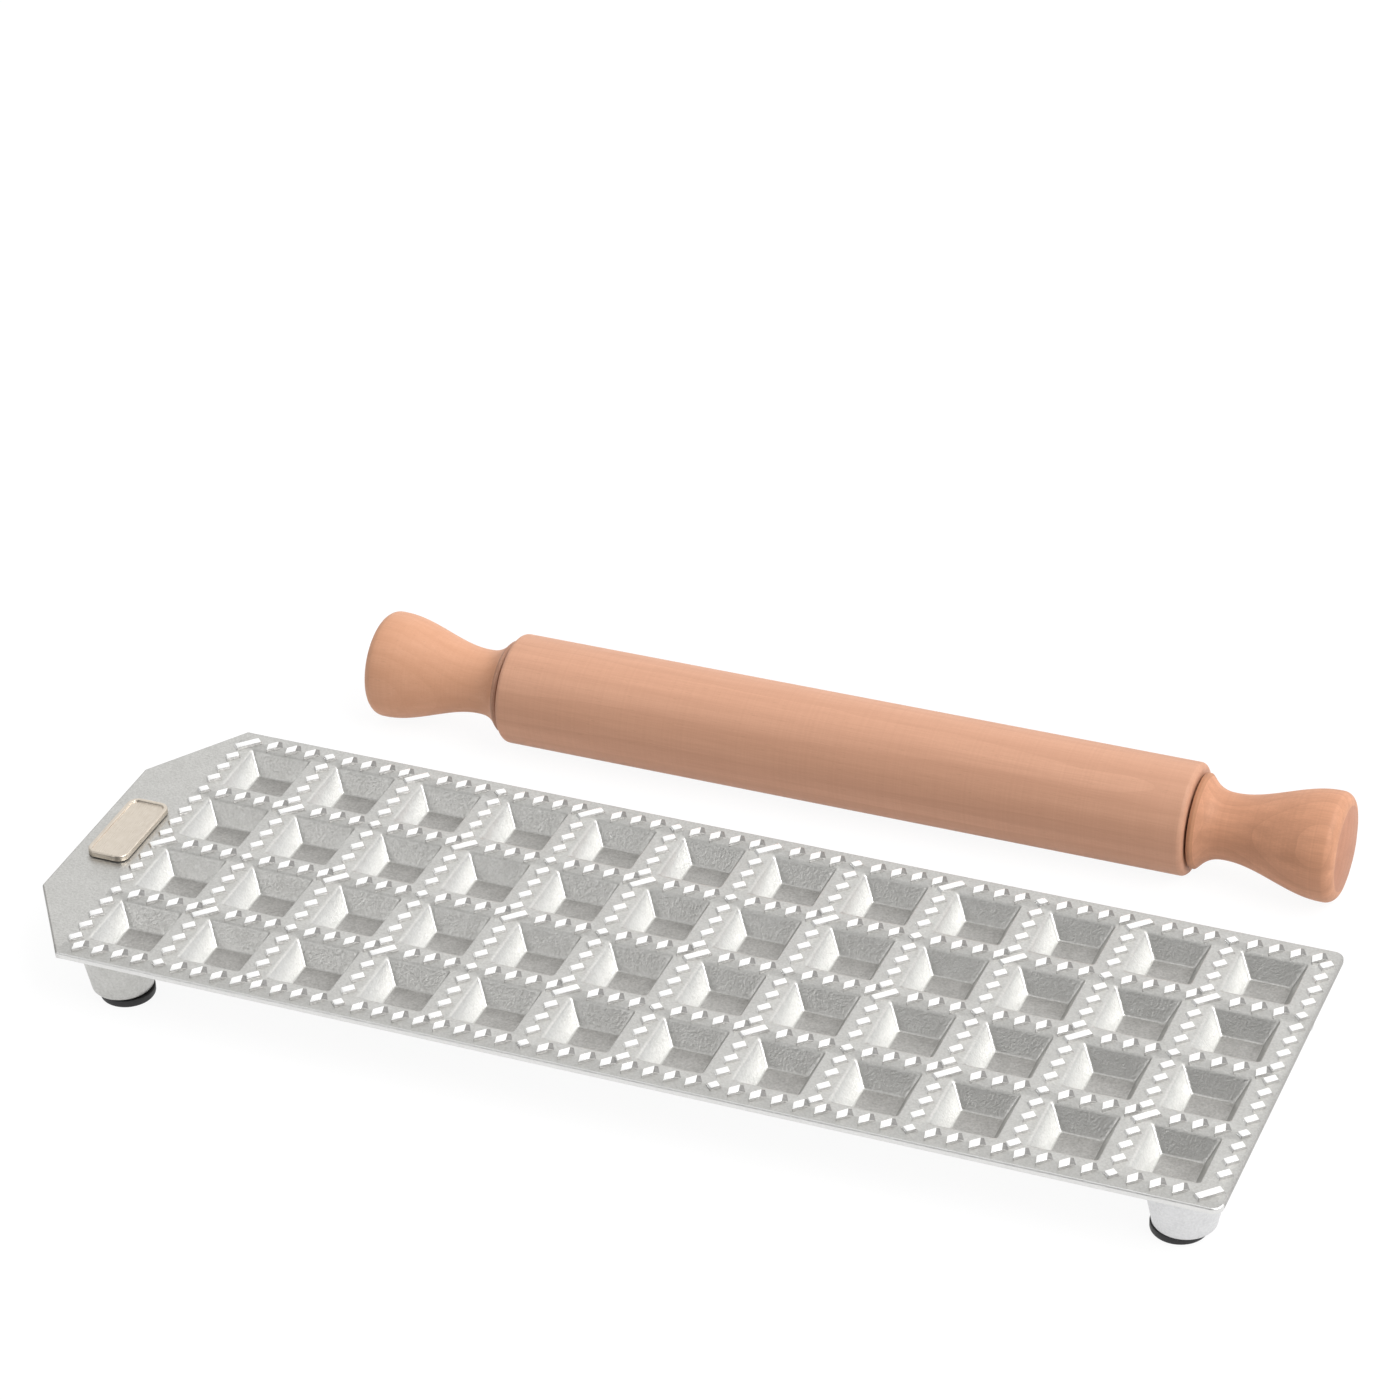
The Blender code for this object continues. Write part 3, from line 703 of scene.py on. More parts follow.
def tooth_rows():
    """Every tooth as a row: x, y, run along the stripe, angle of its end cuts.

    A stripe that passes a crossing at an offset meets the long ridge at (offset, 0) and the
    cross ridge at (0, -offset).
    """
    along, across = np.meshgrid(np.arange(COLUMNS + 1.0), np.arange(ROWS + 1.0), indexing="ij")
    x, y = along.ravel()[:, None] * CELL, across.ravel()[:, None] * CELL
    first = np.ceil((x - y - CELL / 2 - STRIPE_SHIFT) / TOOTH_PITCH)
    offset = (first + np.arange(math.ceil(TEETH_PER_CELL))) * TOOTH_PITCH + STRIPE_SHIFT - (x - y)
    x, y = np.broadcast_to(x, offset.shape), np.broadcast_to(y, offset.shape)
    in_reach = offset < CELL / 2
    on_long = (x + offset >= 0) & (x + offset <= COLUMNS * CELL)
    on_cross = (y - offset >= 0) & (y - offset <= ROWS * CELL)
    diamond = abs(offset) < TOOTH_WIDTH / 2
    bar = ~diamond & (abs(offset) < TOOTH_PITCH / 2) & on_long & on_cross
    apart = in_reach & ~diamond & ~bar
    kinds = (
        (diamond & in_reach, x, y, DIAMOND_RUN, SQUARE_CUT),
        (bar & in_reach, x + offset / 2, y - offset / 2, BAR_RUN, SQUARE_CUT),
        (apart & on_long, x + offset + LONG_RIDGE_SHIFT[0], y + LONG_RIDGE_SHIFT[1],
         LONG_RIDGE_RUN, LONG_RIDGE_CUT),
        (apart & on_cross, x, y - offset, CROSS_RIDGE_RUN, CROSS_RIDGE_CUT))
    rows = [np.stack([px[mask], py[mask], np.full(mask.sum(), run), np.full(mask.sum(), cut)], 1)
            for mask, px, py, run, cut in kinds]
    return np.concatenate(rows)


def front_right_corner(rows):
    """The same rows, with one long bar in place of the teeth at the front right corner."""
    corner = np.array([COLUMNS * CELL, 0])
    far = np.linalg.norm(rows[:, :2] - corner, axis=1) > TOOTH_PITCH
    bar = [corner[0] + CORNER_BAR_PLACE[0], corner[1] + CORNER_BAR_PLACE[1], BAR_RUN, SQUARE_CUT]
    return np.concatenate([rows[far], [bar]])


teeth = front_right_corner(tooth_rows())
print(len(teeth), "teeth")

# %% [markdown]
# Each tooth is a low block with a slanting outline, a ground top and flanks that spread
# towards the foot. A tooth of a long ridge spreads most at its right end, into a wedge
# darkened with painted shade, and one of a cross ridge has a bright slope at its left end,
# a painted highlight.
# It repeats hundreds of times, so it has only a few faces: eight points to a ring, because
# each corner of the outline is cut off once, and six rings from the foot, sunk into the
# land, to the top. The last three rings round the top's edge, which catches the light.

# %% Shape of a tooth
TOOTH_ROOT = 0.0003
CORNER_CUT = 0.00016
TOP_ROUND = 0.00012
SIDE_FLARE = 0.00030
LEFT_FLARE = 0.00005
CROSS_LEFT_FLARE = 0.00040
RIGHT_FLARE = 0.00040
LONG_RIDGE_FLARE = 0.00185
UPPER_CORNER_SHARE = 0.45
UPPER_SIDE_SHARE = 0.25
UPPER_END_SHARE = 0.4
UPPER_LEVEL_DEPTH = 0.4 * TOOTH_HEIGHT
STRIPE_WAY = np.array([1, 1]) / math.sqrt(2)
on_long_ridge = np.isclose(teeth[:, 3], LONG_RIDGE_CUT)


def tooth_outline(side_grow, left_grow, right_grow):
    """Outlines (tooth, 8, 2) grown outwards by these lengths at the sides and the two ends.

    The corners are the centre plus or minus half the run along the stripe, and plus or minus
    half the end cut's length. Where the right end grows, its back corner grows by a share
    only. Each corner becomes two points, a corner cut away from it.
    """
    x, y, run, cut = teeth.T
    left = (run / 2 + left_grow)[:, None] * STRIPE_WAY
    right = (run / 2 + right_grow)[:, None] * STRIPE_WAY
    upper_grow = np.minimum(right_grow, right_grow * UPPER_CORNER_SHARE)
    upper_right = (run / 2 + upper_grow)[:, None] * STRIPE_WAY
    width = np.where(on_long_ridge, LONG_RIDGE_WIDTH, TOOTH_WIDTH)
    across = (width / 2 + side_grow) / np.sin(math.pi / 4 - cut)
    half_cut = across[:, None] * np.stack([np.cos(cut), np.sin(cut)], 1)
    corners = np.stack([half_cut - left, half_cut + right, upper_right - half_cut, -left - half_cut], 1)
    before = np.roll(corners, 1, axis=1) - corners
    after = np.roll(corners, -1, axis=1) - corners
    before /= np.linalg.norm(before, axis=2, keepdims=True)
    after /= np.linalg.norm(after, axis=2, keepdims=True)
    both = np.stack([corners + before * CORNER_CUT, corners + after * CORNER_CUT], 2)
    place = np.stack([grid_left + x, grid_front + y], 1)[:, None, :]
    return both.reshape(len(teeth), 8, 2) + place


def tooth_levels():
    """Growth at the sides, the left and the right end, and the height, foot to top.

    The flanks spread little down to the upper level and more below it. The top's round is
    a quarter circle in two steps.
    """
    right_flare = np.where(on_long_ridge, LONG_RIDGE_FLARE, RIGHT_FLARE)
    left_flare = np.where(on_long_ridge, LEFT_FLARE, CROSS_LEFT_FLARE)
    levels = [(SIDE_FLARE, left_flare, right_flare, land - TOOTH_ROOT),
              (SIDE_FLARE, left_flare, right_flare, land),
              (SIDE_FLARE * UPPER_SIDE_SHARE, left_flare * UPPER_END_SHARE, right_flare * UPPER_END_SHARE,
               tooth_top - UPPER_LEVEL_DEPTH)]
    for angle in (0, math.pi / 4, math.pi / 2):
        inset = -TOP_ROUND * (1 - math.cos(angle))
        levels.append((inset, inset, inset, tooth_top - TOP_ROUND * (1 - math.sin(angle))))
    return levels


# %% The teeth
RIGHT_END_PLACE = 3
LEFT_END_PLACE = 7
TOP_BANDS = 2


def tooth_mesh():
    """Points, faces and finishes of all teeth.

    Only the teeth of the long ridges have a right end darkened as painted shade. The left
    ends of the others take the tops' bright ground finish, a painted highlight.
    """
    points = np.stack([lifted(tooth_outline(*grow), height) for *grow, height in tooth_levels()], axis=1)
    count, ring_count, places = points.shape[:3]
    sides = grid_faces(ring_count, places)
    starts = np.arange(count)[:, None, None] * ring_count * places
    side_faces = (sides[None] + starts).reshape(-1, 4)
    foot = np.arange(places)[::-1]
    top = np.arange(places) + (ring_count - 1) * places
    caps = (np.stack([foot, top])[None] + starts).reshape(-1, places)
    band, place = np.divmod(np.arange(len(sides)), places)
    on_flank = band < ring_count - 1 - TOP_BANDS
    # cut marks the right ends' painted shade; ground marks the tops and the painted highlight on the cross
    # ridges' left ends.
    flank, ground, cut = range(3)
    plain = np.where(on_flank, flank, ground)
    long_finish = np.where(on_flank & (place == RIGHT_END_PLACE), cut, plain)
    cross_finish = np.where(on_flank & (place == LEFT_END_PLACE), ground, plain)
    side_finish = np.where(on_long_ridge[:, None], long_finish, cross_finish)
    finish = np.concatenate([side_finish.ravel(), np.tile([flank, ground], count)])
    return points, side_faces.tolist() + caps.tolist(), finish


tooth_points, tooth_faces, tooth_finish = tooth_mesh()
add_piece("cutting_teeth", tooth_points, tooth_faces,
          [metals[name] for name in ("groove_painted_shade", "ground_metal", "cut_end_painted_shade")],
          "mould", ["mould_tray"], crease=20, finish_of_face=tooth_finish)

# %% [markdown]
# Legs, pads and the pieces of the rolling pin are round, so each is a section turned about
# an axis, as on a lathe. A Screw modifier could do it, but computing the rings keeps the
# seam and the poles closed and the object at the origin.

# %% Turned pieces
def turned(section, sides, centre, axis):
    """Points and faces of a section (along, radius) turned once about an axis.

    Point (ring, side) is the centre, plus along on the axis, plus the radius times the
    cosine and sine of the side's angle on the other two axes. A section that starts off
    the axis is closed, end to start; one that starts on it closes at its poles.
    """
    along, radius = section.T[:, :, None]
    angle = np.arange(sides)[None, :] * math.tau / sides
    on_axis = np.broadcast_to(along, (len(section), sides))
    first, second = radius * np.cos(angle), radius * np.sin(angle)
    order = {"X": (on_axis, first, second), "Z": (first, second, on_axis)}
    points = np.stack(order[axis], axis=2) + np.array(centre)
    return points, grid_faces(len(section), sides, closed_rows=section[0, 1] > 0)


# %% [markdown]
# Each leg is cast in one with the plate: a tapered post whose head flares into the underside
# in a small fillet, with its foot edge rounded. Its head is sunk into the plate, where it
# can't be seen. The right legs are paler than the left ones, as painted light, so each side
# has its own skin.

# %% Legs
LEG_INSET = (0.0095, 0.0088)
LEG_TOP_RADIUS = 0.0109
LEG_FOOT_RADIUS = 0.0082
LEG_FILLET = 0.0012
LEG_FOOT_EDGE = 0.0005
LEG_SINK = 0.0007
LEG_SIDES = 96
LEG_FOOT_STEPS = 4
LEG_HEAD_RINGS = 12
LEG_SHARES = np.concatenate([np.linspace(0, 0.9, 8), np.linspace(0.92, 1, 9)])
leg_foot = tray_low[2]


def under_surface(from_pocket):
    """Height of the tray's lower skin at places measured from the nearest pocket's middle.

    Away from the pocket it is the plate's underside. Nearer, the shell's wall drops at the
    wall's slope with the greater of the two distances, down to the shell's flat base.
    """
    distance = abs(from_pocket).max(axis=-1)
    depth = (POCKET_MOUTH / 2 + shell_step - distance) / wall_lean
    return np.clip(land - depth, land - POCKET_DEPTH - CAST_WALL, underside)


def leg_grid(leg, pocket):
    """Points of one leg: foot, sides and head, ring after ring.

    The sides rise at a taper by shares of the height, which lie close together near the
    top, and each side's top is the tray's lower skin at that place. There they flare by a
    quarter circle's curve. The head is sunk into the skin and follows it, so nothing of the
    leg shows inside the pocket.
    """
    angle = np.arange(LEG_SIDES) * math.tau / LEG_SIDES
    ray = np.stack([np.cos(angle), np.sin(angle)], 1)
    from_leg = np.array(pocket) - np.array(leg)
    top = under_surface(ray * LEG_TOP_RADIUS - from_leg)
    height = leg_foot + LEG_FOOT_EDGE + LEG_SHARES[:, None] * (top - leg_foot - LEG_FOOT_EDGE)
    taper = (height - leg_foot) / (underside - leg_foot)
    near = np.clip(1 - (top - height) / LEG_FILLET, 0, 1)
    flare = LEG_FILLET * (1 - np.sqrt(1 - near ** 2))
    radius = LEG_FOOT_RADIUS + (LEG_TOP_RADIUS - LEG_FOOT_RADIUS) * taper + flare
    round_angle = np.linspace(0, math.pi / 2, LEG_FOOT_STEPS + 1)[:-1, None]
    foot_radius = LEG_FOOT_RADIUS - LEG_FOOT_EDGE * (1 - np.sin(round_angle)) + 0 * angle
    foot_height = leg_foot + LEG_FOOT_EDGE * (1 - np.cos(round_angle)) + 0 * angle
    head_radius = radius[-1] * np.linspace(1, 0, LEG_HEAD_RINGS)[:, None]
    head = under_surface(ray * head_radius[..., None] - from_leg) + LEG_SINK
    rings = np.concatenate([np.zeros((1, LEG_SIDES)), foot_radius, radius, head_radius])
    heights = np.concatenate([np.full((1, LEG_SIDES), leg_foot), foot_height, height, head])
    flat = rings[..., None] * ray + np.array(leg)
    return np.concatenate([flat, heights[..., None]], axis=2)


# %% The four legs
def corner_places(inset):
    """The four corners of the grid, drawn in by an inset, with their names."""
    for name_y, y in (("front", grid_front + inset[1]), ("back", grid_back - inset[1])):
        for name_x, x in (("left", grid_left + inset[0]), ("right", grid_right - inset[0])):
            yield f"{name_y}_{name_x}", (x, y)


pocket_places = dict(corner_places((CELL / 2, CELL / 2)))
for corner_name, place in corner_places(LEG_INSET):
    pocket_x, pocket_y = pocket_places[corner_name]
    leg_points = leg_grid(place, (pocket_x + POCKET_SHIFT[0], pocket_y + POCKET_SHIFT[1]))
    # The right legs' paler skin is painted light.
    skin = metals["right_leg_painted_light_skin" if corner_name.endswith("right") else "left_leg_skin"]
    add_piece(f"leg_{corner_name}", leg_points, grid_faces(*leg_points.shape[:2]), [skin],
              "mould", crease=50)

# %% [markdown]
# Under each leg sits a black rubber pad, a little inboard of the leg's middle, so that a
# dark crescent shows beside the foot. Moulded rubber is matt and slightly worn grey where
# it is touched, so its colour and roughness drift a little.

# %% Rubber pads
PAD_THICKNESS = 0.0023
PAD_EDGE = 0.0006
PAD_SIDES = 56
STEM_SHARE = 0.38
STEM_RISE = 0.0002
RUBBER_BLACK = (0.010, 0.010, 0.011, 1)
RUBBER_DUSTY = (0.026, 0.026, 0.027, 1)
DUST_SCALE = 900
PORE_SCALE = 4000


def rubber_finish():
    """Moulded black rubber with a faint dusty bloom."""
    material, tree, shader = start_finish("black_rubber")
    points = object_points(tree)
    dust = noise(tree, points, DUST_SCALE, detail=4.0, roughness=0.6)
    bloom = remap(tree, dust, 0.35, 0.7)
    colour = mix(tree, bloom, RUBBER_BLACK, RUBBER_DUSTY)
    roughness = remap(tree, bloom, 0, 1, 0.42, 0.6)
    set_surface(tree, shader, colour, roughness, noise(tree, points, PORE_SCALE), depth=0.00003)
    return material


def pad_section(low, high, radius):
    """Section (height, radius) of a pad: a flat disc with rounded edges and a short stem."""
    stem_radius, stem_top = radius * STEM_SHARE, high + STEM_RISE
    points = [(low, 0), (low, radius), (high, radius), (high, stem_radius),
              (stem_top, stem_radius), (stem_top, 0)]
    return rounded_line(points, (0, PAD_EDGE, PAD_EDGE / 2, 0, 0, 0))


black_rubber = rubber_finish()
for corner_name in ("front_left", "back_left", "front_right", "back_right"):
    node = f"foot_pad_{corner_name}"
    pad_low, pad_high = box_of(node)
    middle = (pad_low + pad_high) / 2
    pad_radius = (pad_high[0] - pad_low[0]) / 2
    section = pad_section(pad_low[2], pad_low[2] + PAD_THICKNESS, pad_radius)
    pad_points, pad_faces = turned(section, PAD_SIDES, (middle[0], middle[1], 0), "Z")
    add_piece(f"rubber_pad_{corner_name}", pad_points, pad_faces, [black_rubber],
              "mould", [node])

# %% [markdown]
# A small plaque of champagne-coloured metal is pegged to the tab. It is plain: a raised,
# softly rounded rim round a sunken field with a satin finish. Rounded rectangles, one inside
# the other, make it, each ring a little further in than the last.

# %% Plaque
PLAQUE_CORNER = 0.0030
PLAQUE_RIM = 0.0011
PLAQUE_FIELD_DEPTH = 0.0005
PLAQUE_THICKNESS = 0.0016
PLAQUE_RIM_SLOPE = 0.0002
PLAQUE_BACK_REACH = 0.004
PLAQUE_FIELD_REACH = 0.0045
PLAQUE_RADII = (0, 0.0001, 0.00035, 0.0002, 0.0002, 0)
PLAQUE_CORNER_STEPS = 7
CHAMPAGNE_DEEP = (0.61, 0.545, 0.46, 1)
CHAMPAGNE_PALE = (0.745, 0.675, 0.59, 1)
CHAMPAGNE_TARNISH = (0.52, 0.45, 0.37, 1)
BRUSH_STRETCH = (6000, 250, 250)
TARNISH_SCALE = 500


def champagne_finish():
    """Satin champagne metal, brushed along its long side, with faint tarnish."""
    material, tree, shader = start_finish("champagne_metal", Metallic=1.0)
    brushed = noise(tree, object_points(tree, BRUSH_STRETCH), detail=3.0)
    tarnish = noise(tree, object_points(tree), TARNISH_SCALE, detail=3.0)
    streak = mix(tree, spread(tree, brushed), CHAMPAGNE_DEEP, CHAMPAGNE_PALE)
    colour = mix(tree, remap(tree, tarnish, 0.4, 0.75, 0, 0.3), streak, CHAMPAGNE_TARNISH)
    set_surface(tree, shader, colour, spread(tree, brushed, 0.26, 0.4), brushed, depth=0.00001)
    return material


def rectangle_rings(half_x, half_y, corner, insets, heights, centre):
    """Rounded rectangles, each drawn in by its inset: four quarter arcs about corner centres.

    The corner's radius shrinks by the inset as well, but never below a tenth of itself.
    """
    angle = np.linspace(0, math.pi / 2, PLAQUE_CORNER_STEPS + 1)
    quarter = np.arange(4)[:, None] * math.pi / 2 + angle
    sign_x = np.array([1, -1, -1, 1])[:, None]
    sign_y = np.array([1, 1, -1, -1])[:, None]
    inset = np.asarray(insets)[:, None, None]
    radius = np.maximum(corner - inset, corner / 10)
    x = centre[0] + sign_x * (half_x - inset - radius) + radius * np.cos(quarter)
    y = centre[1] + sign_y * (half_y - inset - radius) + radius * np.sin(quarter)
    z = np.broadcast_to(np.asarray(heights)[:, None, None], x.shape)
    return np.stack([x, y, z], axis=3).reshape(len(inset), -1, 3)


def add_plaque():
    """The plaque with its rim and sunken field, closed below and in the middle."""
    low, high = box_of("badge_plate")
    half = (high - low) / 2
    middle = (high + low) / 2
    top, bottom = high[2], high[2] - PLAQUE_THICKNESS
    field = top - PLAQUE_FIELD_DEPTH
    section = rounded_line(
        [(PLAQUE_BACK_REACH, bottom), (0, bottom), (0, top), (PLAQUE_RIM, top),
         (PLAQUE_RIM + PLAQUE_RIM_SLOPE, field), (PLAQUE_FIELD_REACH, field)], PLAQUE_RADII)
    rings = rectangle_rings(half[0], half[1], PLAQUE_CORNER, section[:, 0], section[:, 1], middle)
    count, places = rings.shape[:2]
    faces = grid_faces(count, places).tolist()
    faces.append(list(range(places))[::-1])
    faces.append([(count - 1) * places + place for place in range(places)])
    add_piece("plaque", rings, faces, [champagne_finish()], "mould", ["badge_plate"])


add_plaque()

# %% [markdown]
# The rolling pin is turned from pale, pinkish beech. Real wood is solid, so its pattern is
# solid here too: growth rings are cylinders about a pith line that lies well outside the
# piece, and the turned surface cuts through them. On the straight barrel that gives long
# faint streaks, and on a swelling handle it gives the nested arcs of flat-sawn wood. Fine
# fibres, short dark flecks and the marks of the lathe lie over it.

# %% Wood
FIBRE_STRETCH = (60, 2600, 2600)
STREAK_STRETCH = (9, 260, 260)
FLECK_STRETCH = (420, 3600, 3600)
LATHE_STRETCH = (1400, 12, 12)
RING_STRETCH = (0.25, 1, 1)
RING_WAVES = {"Distortion": 2.2, "Detail": 2.0, "Detail Scale": 1.0, "Detail Roughness": 0.5}
PAINTED_SHADE_ENDS = (-0.06, 0.08)
FLECK = (0.46, 0.25, 0.15, 1)

barrel_low, barrel_high = box_of("pin_barrel")
pin_axis = (barrel_low + barrel_high) / 2


def wood_finish(name, pale, deep, pith, ring_scale, ring_share, turn=(0, 0, 0), right_end_painted_shade=1.0):
    """Beech: growth rings about a pith line, fibres, flecks and lathe marks.

    The points are taken from the pin's axis, turned by a small angle so that the rings
    don't run quite along it, and moved so that the pith line lies beside the piece. Each
    layer is a pattern, the range of it that counts, its greatest share and its colour. Last,
    painted shade darkens the colour along X, down to a share of itself at the right end.
    """
    material, tree, shader = start_finish(name, Specular_IOR_Level=0.35)
    centre = [a + p for a, p in zip(pin_axis, pith)]
    ring_points = object_points(tree, RING_STRETCH, centre, turn)
    rings = add_node(tree, "ShaderNodeTexWave", {"Vector": ring_points, "Scale": ring_scale, **RING_WAVES},
                     wave_type="RINGS", rings_direction="X", wave_profile="SAW")
    fibres = noise(tree, object_points(tree, FIBRE_STRETCH, pin_axis, turn), detail=3.0, roughness=0.6)
    streaks = noise(tree, object_points(tree, STREAK_STRETCH, pin_axis, turn))
    flecks = noise(tree, object_points(tree, FLECK_STRETCH, pin_axis, turn), detail=1.0)
    lathe = noise(tree, object_points(tree, LATHE_STRETCH, pin_axis))
    layers = [(streaks, NOISE_RANGE, 0.45, deep), (rings.outputs["Fac"], (0.5, 1.0), ring_share, deep),
              (fibres, (0.35, 0.75), 0.3, deep), (lathe, (0.35, 0.65), 0.16, deep),
              (flecks, (0.66, 0.8), 0.5, FLECK)]
    colour = pale
    for pattern, ends, share, layer_colour in layers:
        colour = mix(tree, remap(tree, pattern, *ends, 0.0, share), colour, layer_colour)
    along = axis_of(tree, object_points(tree, centre=pin_axis), "X")
    # Painted shade: the colour darkens towards the right end.
    colour = mix(tree, 1.0, colour, remap(tree, along, *PAINTED_SHADE_ENDS, 1.0, right_end_painted_shade), blend="MULTIPLY")
    height = combine(tree, "ADD", fibres, lathe)
    set_surface(tree, shader, colour, spread(tree, fibres, 0.5, 0.62), height, depth=0.00004)
    return material


# %% [markdown]
# The barrel and the two handles differ in colour and grain, so each has its own colours and
# its own pith line. Every row below gives a pale and a deep colour, the pith line's place
# beside the pin's axis, how close the growth rings are, and how strongly they show. The
# barrel's row adds its turn and its painted shade towards the right end. Flanges and end
# faces are darker than the rest; on the flanges that is painted shade.

# %% Woods of the pin
# The barrel row's last number is its painted shade at the right end; the flange woods are darker as painted
# shade.
WOODS = {
    "barrel_wood": ((0.68, 0.372, 0.246, 1), (0.51, 0.262, 0.164, 1), (0, 0.030, -0.050), 60, 0.25,
                    (0, 0.02, 0.03), 0.92),
    "right_handle_wood": ((0.665, 0.33, 0.197, 1), (0.38, 0.18, 0.10, 1), (0, 0.0357, -0.022), 95, 0.26),
    "left_handle_wood": ((0.68, 0.362, 0.228, 1), (0.56, 0.275, 0.155, 1), (0, 0.036, 0.006), 105, 0.22),
    "end_grain": ((0.50, 0.238, 0.148, 1), (0.38, 0.172, 0.104, 1), (0, 0.034, -0.022), 105, 0.35),
    "flange_painted_shade_wood": ((0.50, 0.235, 0.125, 1), (0.38, 0.18, 0.10, 1), (0, 0.034, -0.022), 105, 0.25),
    "left_flange_painted_shade_wood": ((0.50, 0.29, 0.20, 1), (0.38, 0.172, 0.104, 1), (0, 0.036, 0.006), 105, 0.22)}
woods = {name: wood_finish(name, *look) for name, look in WOODS.items()}
print("woods", list(woods), "and pin axis through", pin_axis)

# %% [markdown]
# The barrel is a straight hollow cylinder with well rounded ends. Its section is closed: it
# runs over the outside, round both ends, into the seats of the bushes and along the bore.

# %% Barrel
BARREL_EDGE_RADIUS = 0.0017
BORE_RADIUS = 0.0042
BUSH_SEAT_RADIUS = 0.0059
BUSH_SEAT_DEPTH = 0.0163
SEAT_EDGE_RADIUS = 0.0004
BARREL_EDGE_STEPS = 7
BARREL_SIDES = 112


def barrel_section():
    """Closed section (along, radius), the left half a mirror image of the right one."""
    half = (barrel_high[0] - barrel_low[0]) / 2
    radius = (barrel_high[2] - barrel_low[2]) / 2
    right = rounded_line(
        [(0, radius), (half, radius), (half, BUSH_SEAT_RADIUS),
         (half - BUSH_SEAT_DEPTH, BUSH_SEAT_RADIUS), (half - BUSH_SEAT_DEPTH, BORE_RADIUS), (0, BORE_RADIUS)],
        (0, BARREL_EDGE_RADIUS, SEAT_EDGE_RADIUS, 0, 0, 0), BARREL_EDGE_STEPS)
    left = right[::-1] * np.array([-1, 1])
    return np.concatenate([right, left[1:-1]])


barrel_points, barrel_faces = turned(barrel_section(), BARREL_SIDES, pin_axis, "X")
add_piece("barrel", barrel_points, barrel_faces, [woods["barrel_wood"]],
          "pin_barrel", ["pin_barrel"], crease=50)

# %% [markdown]
# A handle starts in a narrow flange beside the barrel, falls in a hollow curve to its waist,
# swells to a knob and ends in a slightly domed face with a soft shoulder. The hollow and the
# swell are formulas, so the curve has no corner between them. The faces of the flange and of
# the end face lie in known bands of the section, and they take their darker woods there; the
# flange's is painted shade.

# %% Section of a handle
HANDLE_LENGTH = 0.0425
FLANGE_BACK_RADIUS = 0.0132
FLANGE_RADIUS = 0.0133
FLANGE_LENGTH = 0.0017
FLANGE_RIM_SHARE = 0.6
FLANGE_ROUNDS = (0, 0, 0, 0.0001, 0.0003, 0)
NECK_START_RADIUS = 0.0126
NECK_POWER = 2.7
NECK_STEPS = 14
WAIST_RADIUS = 0.0093
WAIST_AT = 0.0092
SWELL_STEPS = 24
KNOB_RADIUS = 0.0153
KNOB_RIM = 0.0010
KNOB_EDGE_RADIUS = 0.0034
KNOB_EDGE_STEPS = 9
END_RISE = 0.0016
FACE_BANDS = 8
HANDLE_BORE = 0.0033
HANDLE_BORE_DEPTH = 0.003
HANDLE_SIDES = 104


def handle_section():
    """Section (along, radius) of a handle from its flange outwards, and the flange's bands.

    Up to the waist the radius is the waist's plus the rest times (1 - share) to the neck
    power. Past it, the radius grows by 3 s squared less 2 s cubed, which starts and ends
    level. The end face is an arc, nearly flat.
    """
    face_at = HANDLE_LENGTH - END_RISE
    knob_at = face_at - KNOB_EDGE_RADIUS - KNOB_RIM
    share = np.linspace(0, 1, NECK_STEPS + 1)[:-1]
    neck_at = FLANGE_LENGTH + (WAIST_AT - FLANGE_LENGTH) * share
    neck = WAIST_RADIUS + (NECK_START_RADIUS - WAIST_RADIUS) * (1 - share) ** NECK_POWER
    rise = np.linspace(0, 1, SWELL_STEPS + 1)
    swell_at = WAIST_AT + (knob_at - WAIST_AT) * rise
    swell = WAIST_RADIUS + (KNOB_RADIUS - WAIST_RADIUS) * rise ** 2 * (3 - 2 * rise)
    flange = rounded_line(
        [(HANDLE_BORE_DEPTH, 0), (HANDLE_BORE_DEPTH, HANDLE_BORE), (0, HANDLE_BORE), (0, FLANGE_BACK_RADIUS),
         (FLANGE_LENGTH * FLANGE_RIM_SHARE, FLANGE_RADIUS), (FLANGE_LENGTH, NECK_START_RADIUS)],
        FLANGE_ROUNDS)
    shoulder = corner_arc((knob_at, KNOB_RADIUS), (face_at, KNOB_RADIUS), (face_at, 0),
                          KNOB_EDGE_RADIUS, KNOB_EDGE_STEPS)
    inward = np.linspace(1, 0, FACE_BANDS + 1)[1:]
    face_radius = (KNOB_RADIUS - KNOB_EDGE_RADIUS) * inward
    face = np.stack([face_at + END_RISE * (1 - inward ** 2), face_radius], 1)
    parts = [flange, np.stack([neck_at, neck], 1), np.stack([swell_at, swell], 1), shoulder, face]
    return np.concatenate(parts), len(flange) - 1


# %% Handles
def add_handle(side, sign, wood, flange_painted_shade_wood):
    """One handle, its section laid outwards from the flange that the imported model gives."""
    low, high = box_of(f"pin_handle_{side}")
    flange_x = low[0] if sign > 0 else high[0]
    section, flange_bands = handle_section()
    centre = (flange_x, pin_axis[1], pin_axis[2])
    points, faces = turned(section * np.array([sign, 1]), HANDLE_SIDES, centre, "X")
    band = np.arange(len(faces)) // HANDLE_SIDES
    on_flange = band < flange_bands
    on_end = band >= len(section) - 1 - FACE_BANDS
    add_piece(f"handle_{side}", points, faces, [wood, woods["end_grain"], flange_painted_shade_wood], "pin_core",
              [f"pin_handle_{side}"], crease=50, finish_of_face=on_end + 2 * on_flange)


add_handle("left", -1, woods["left_handle_wood"], woods["left_flange_painted_shade_wood"])
add_handle("right", 1, woods["right_handle_wood"], woods["flange_painted_shade_wood"])

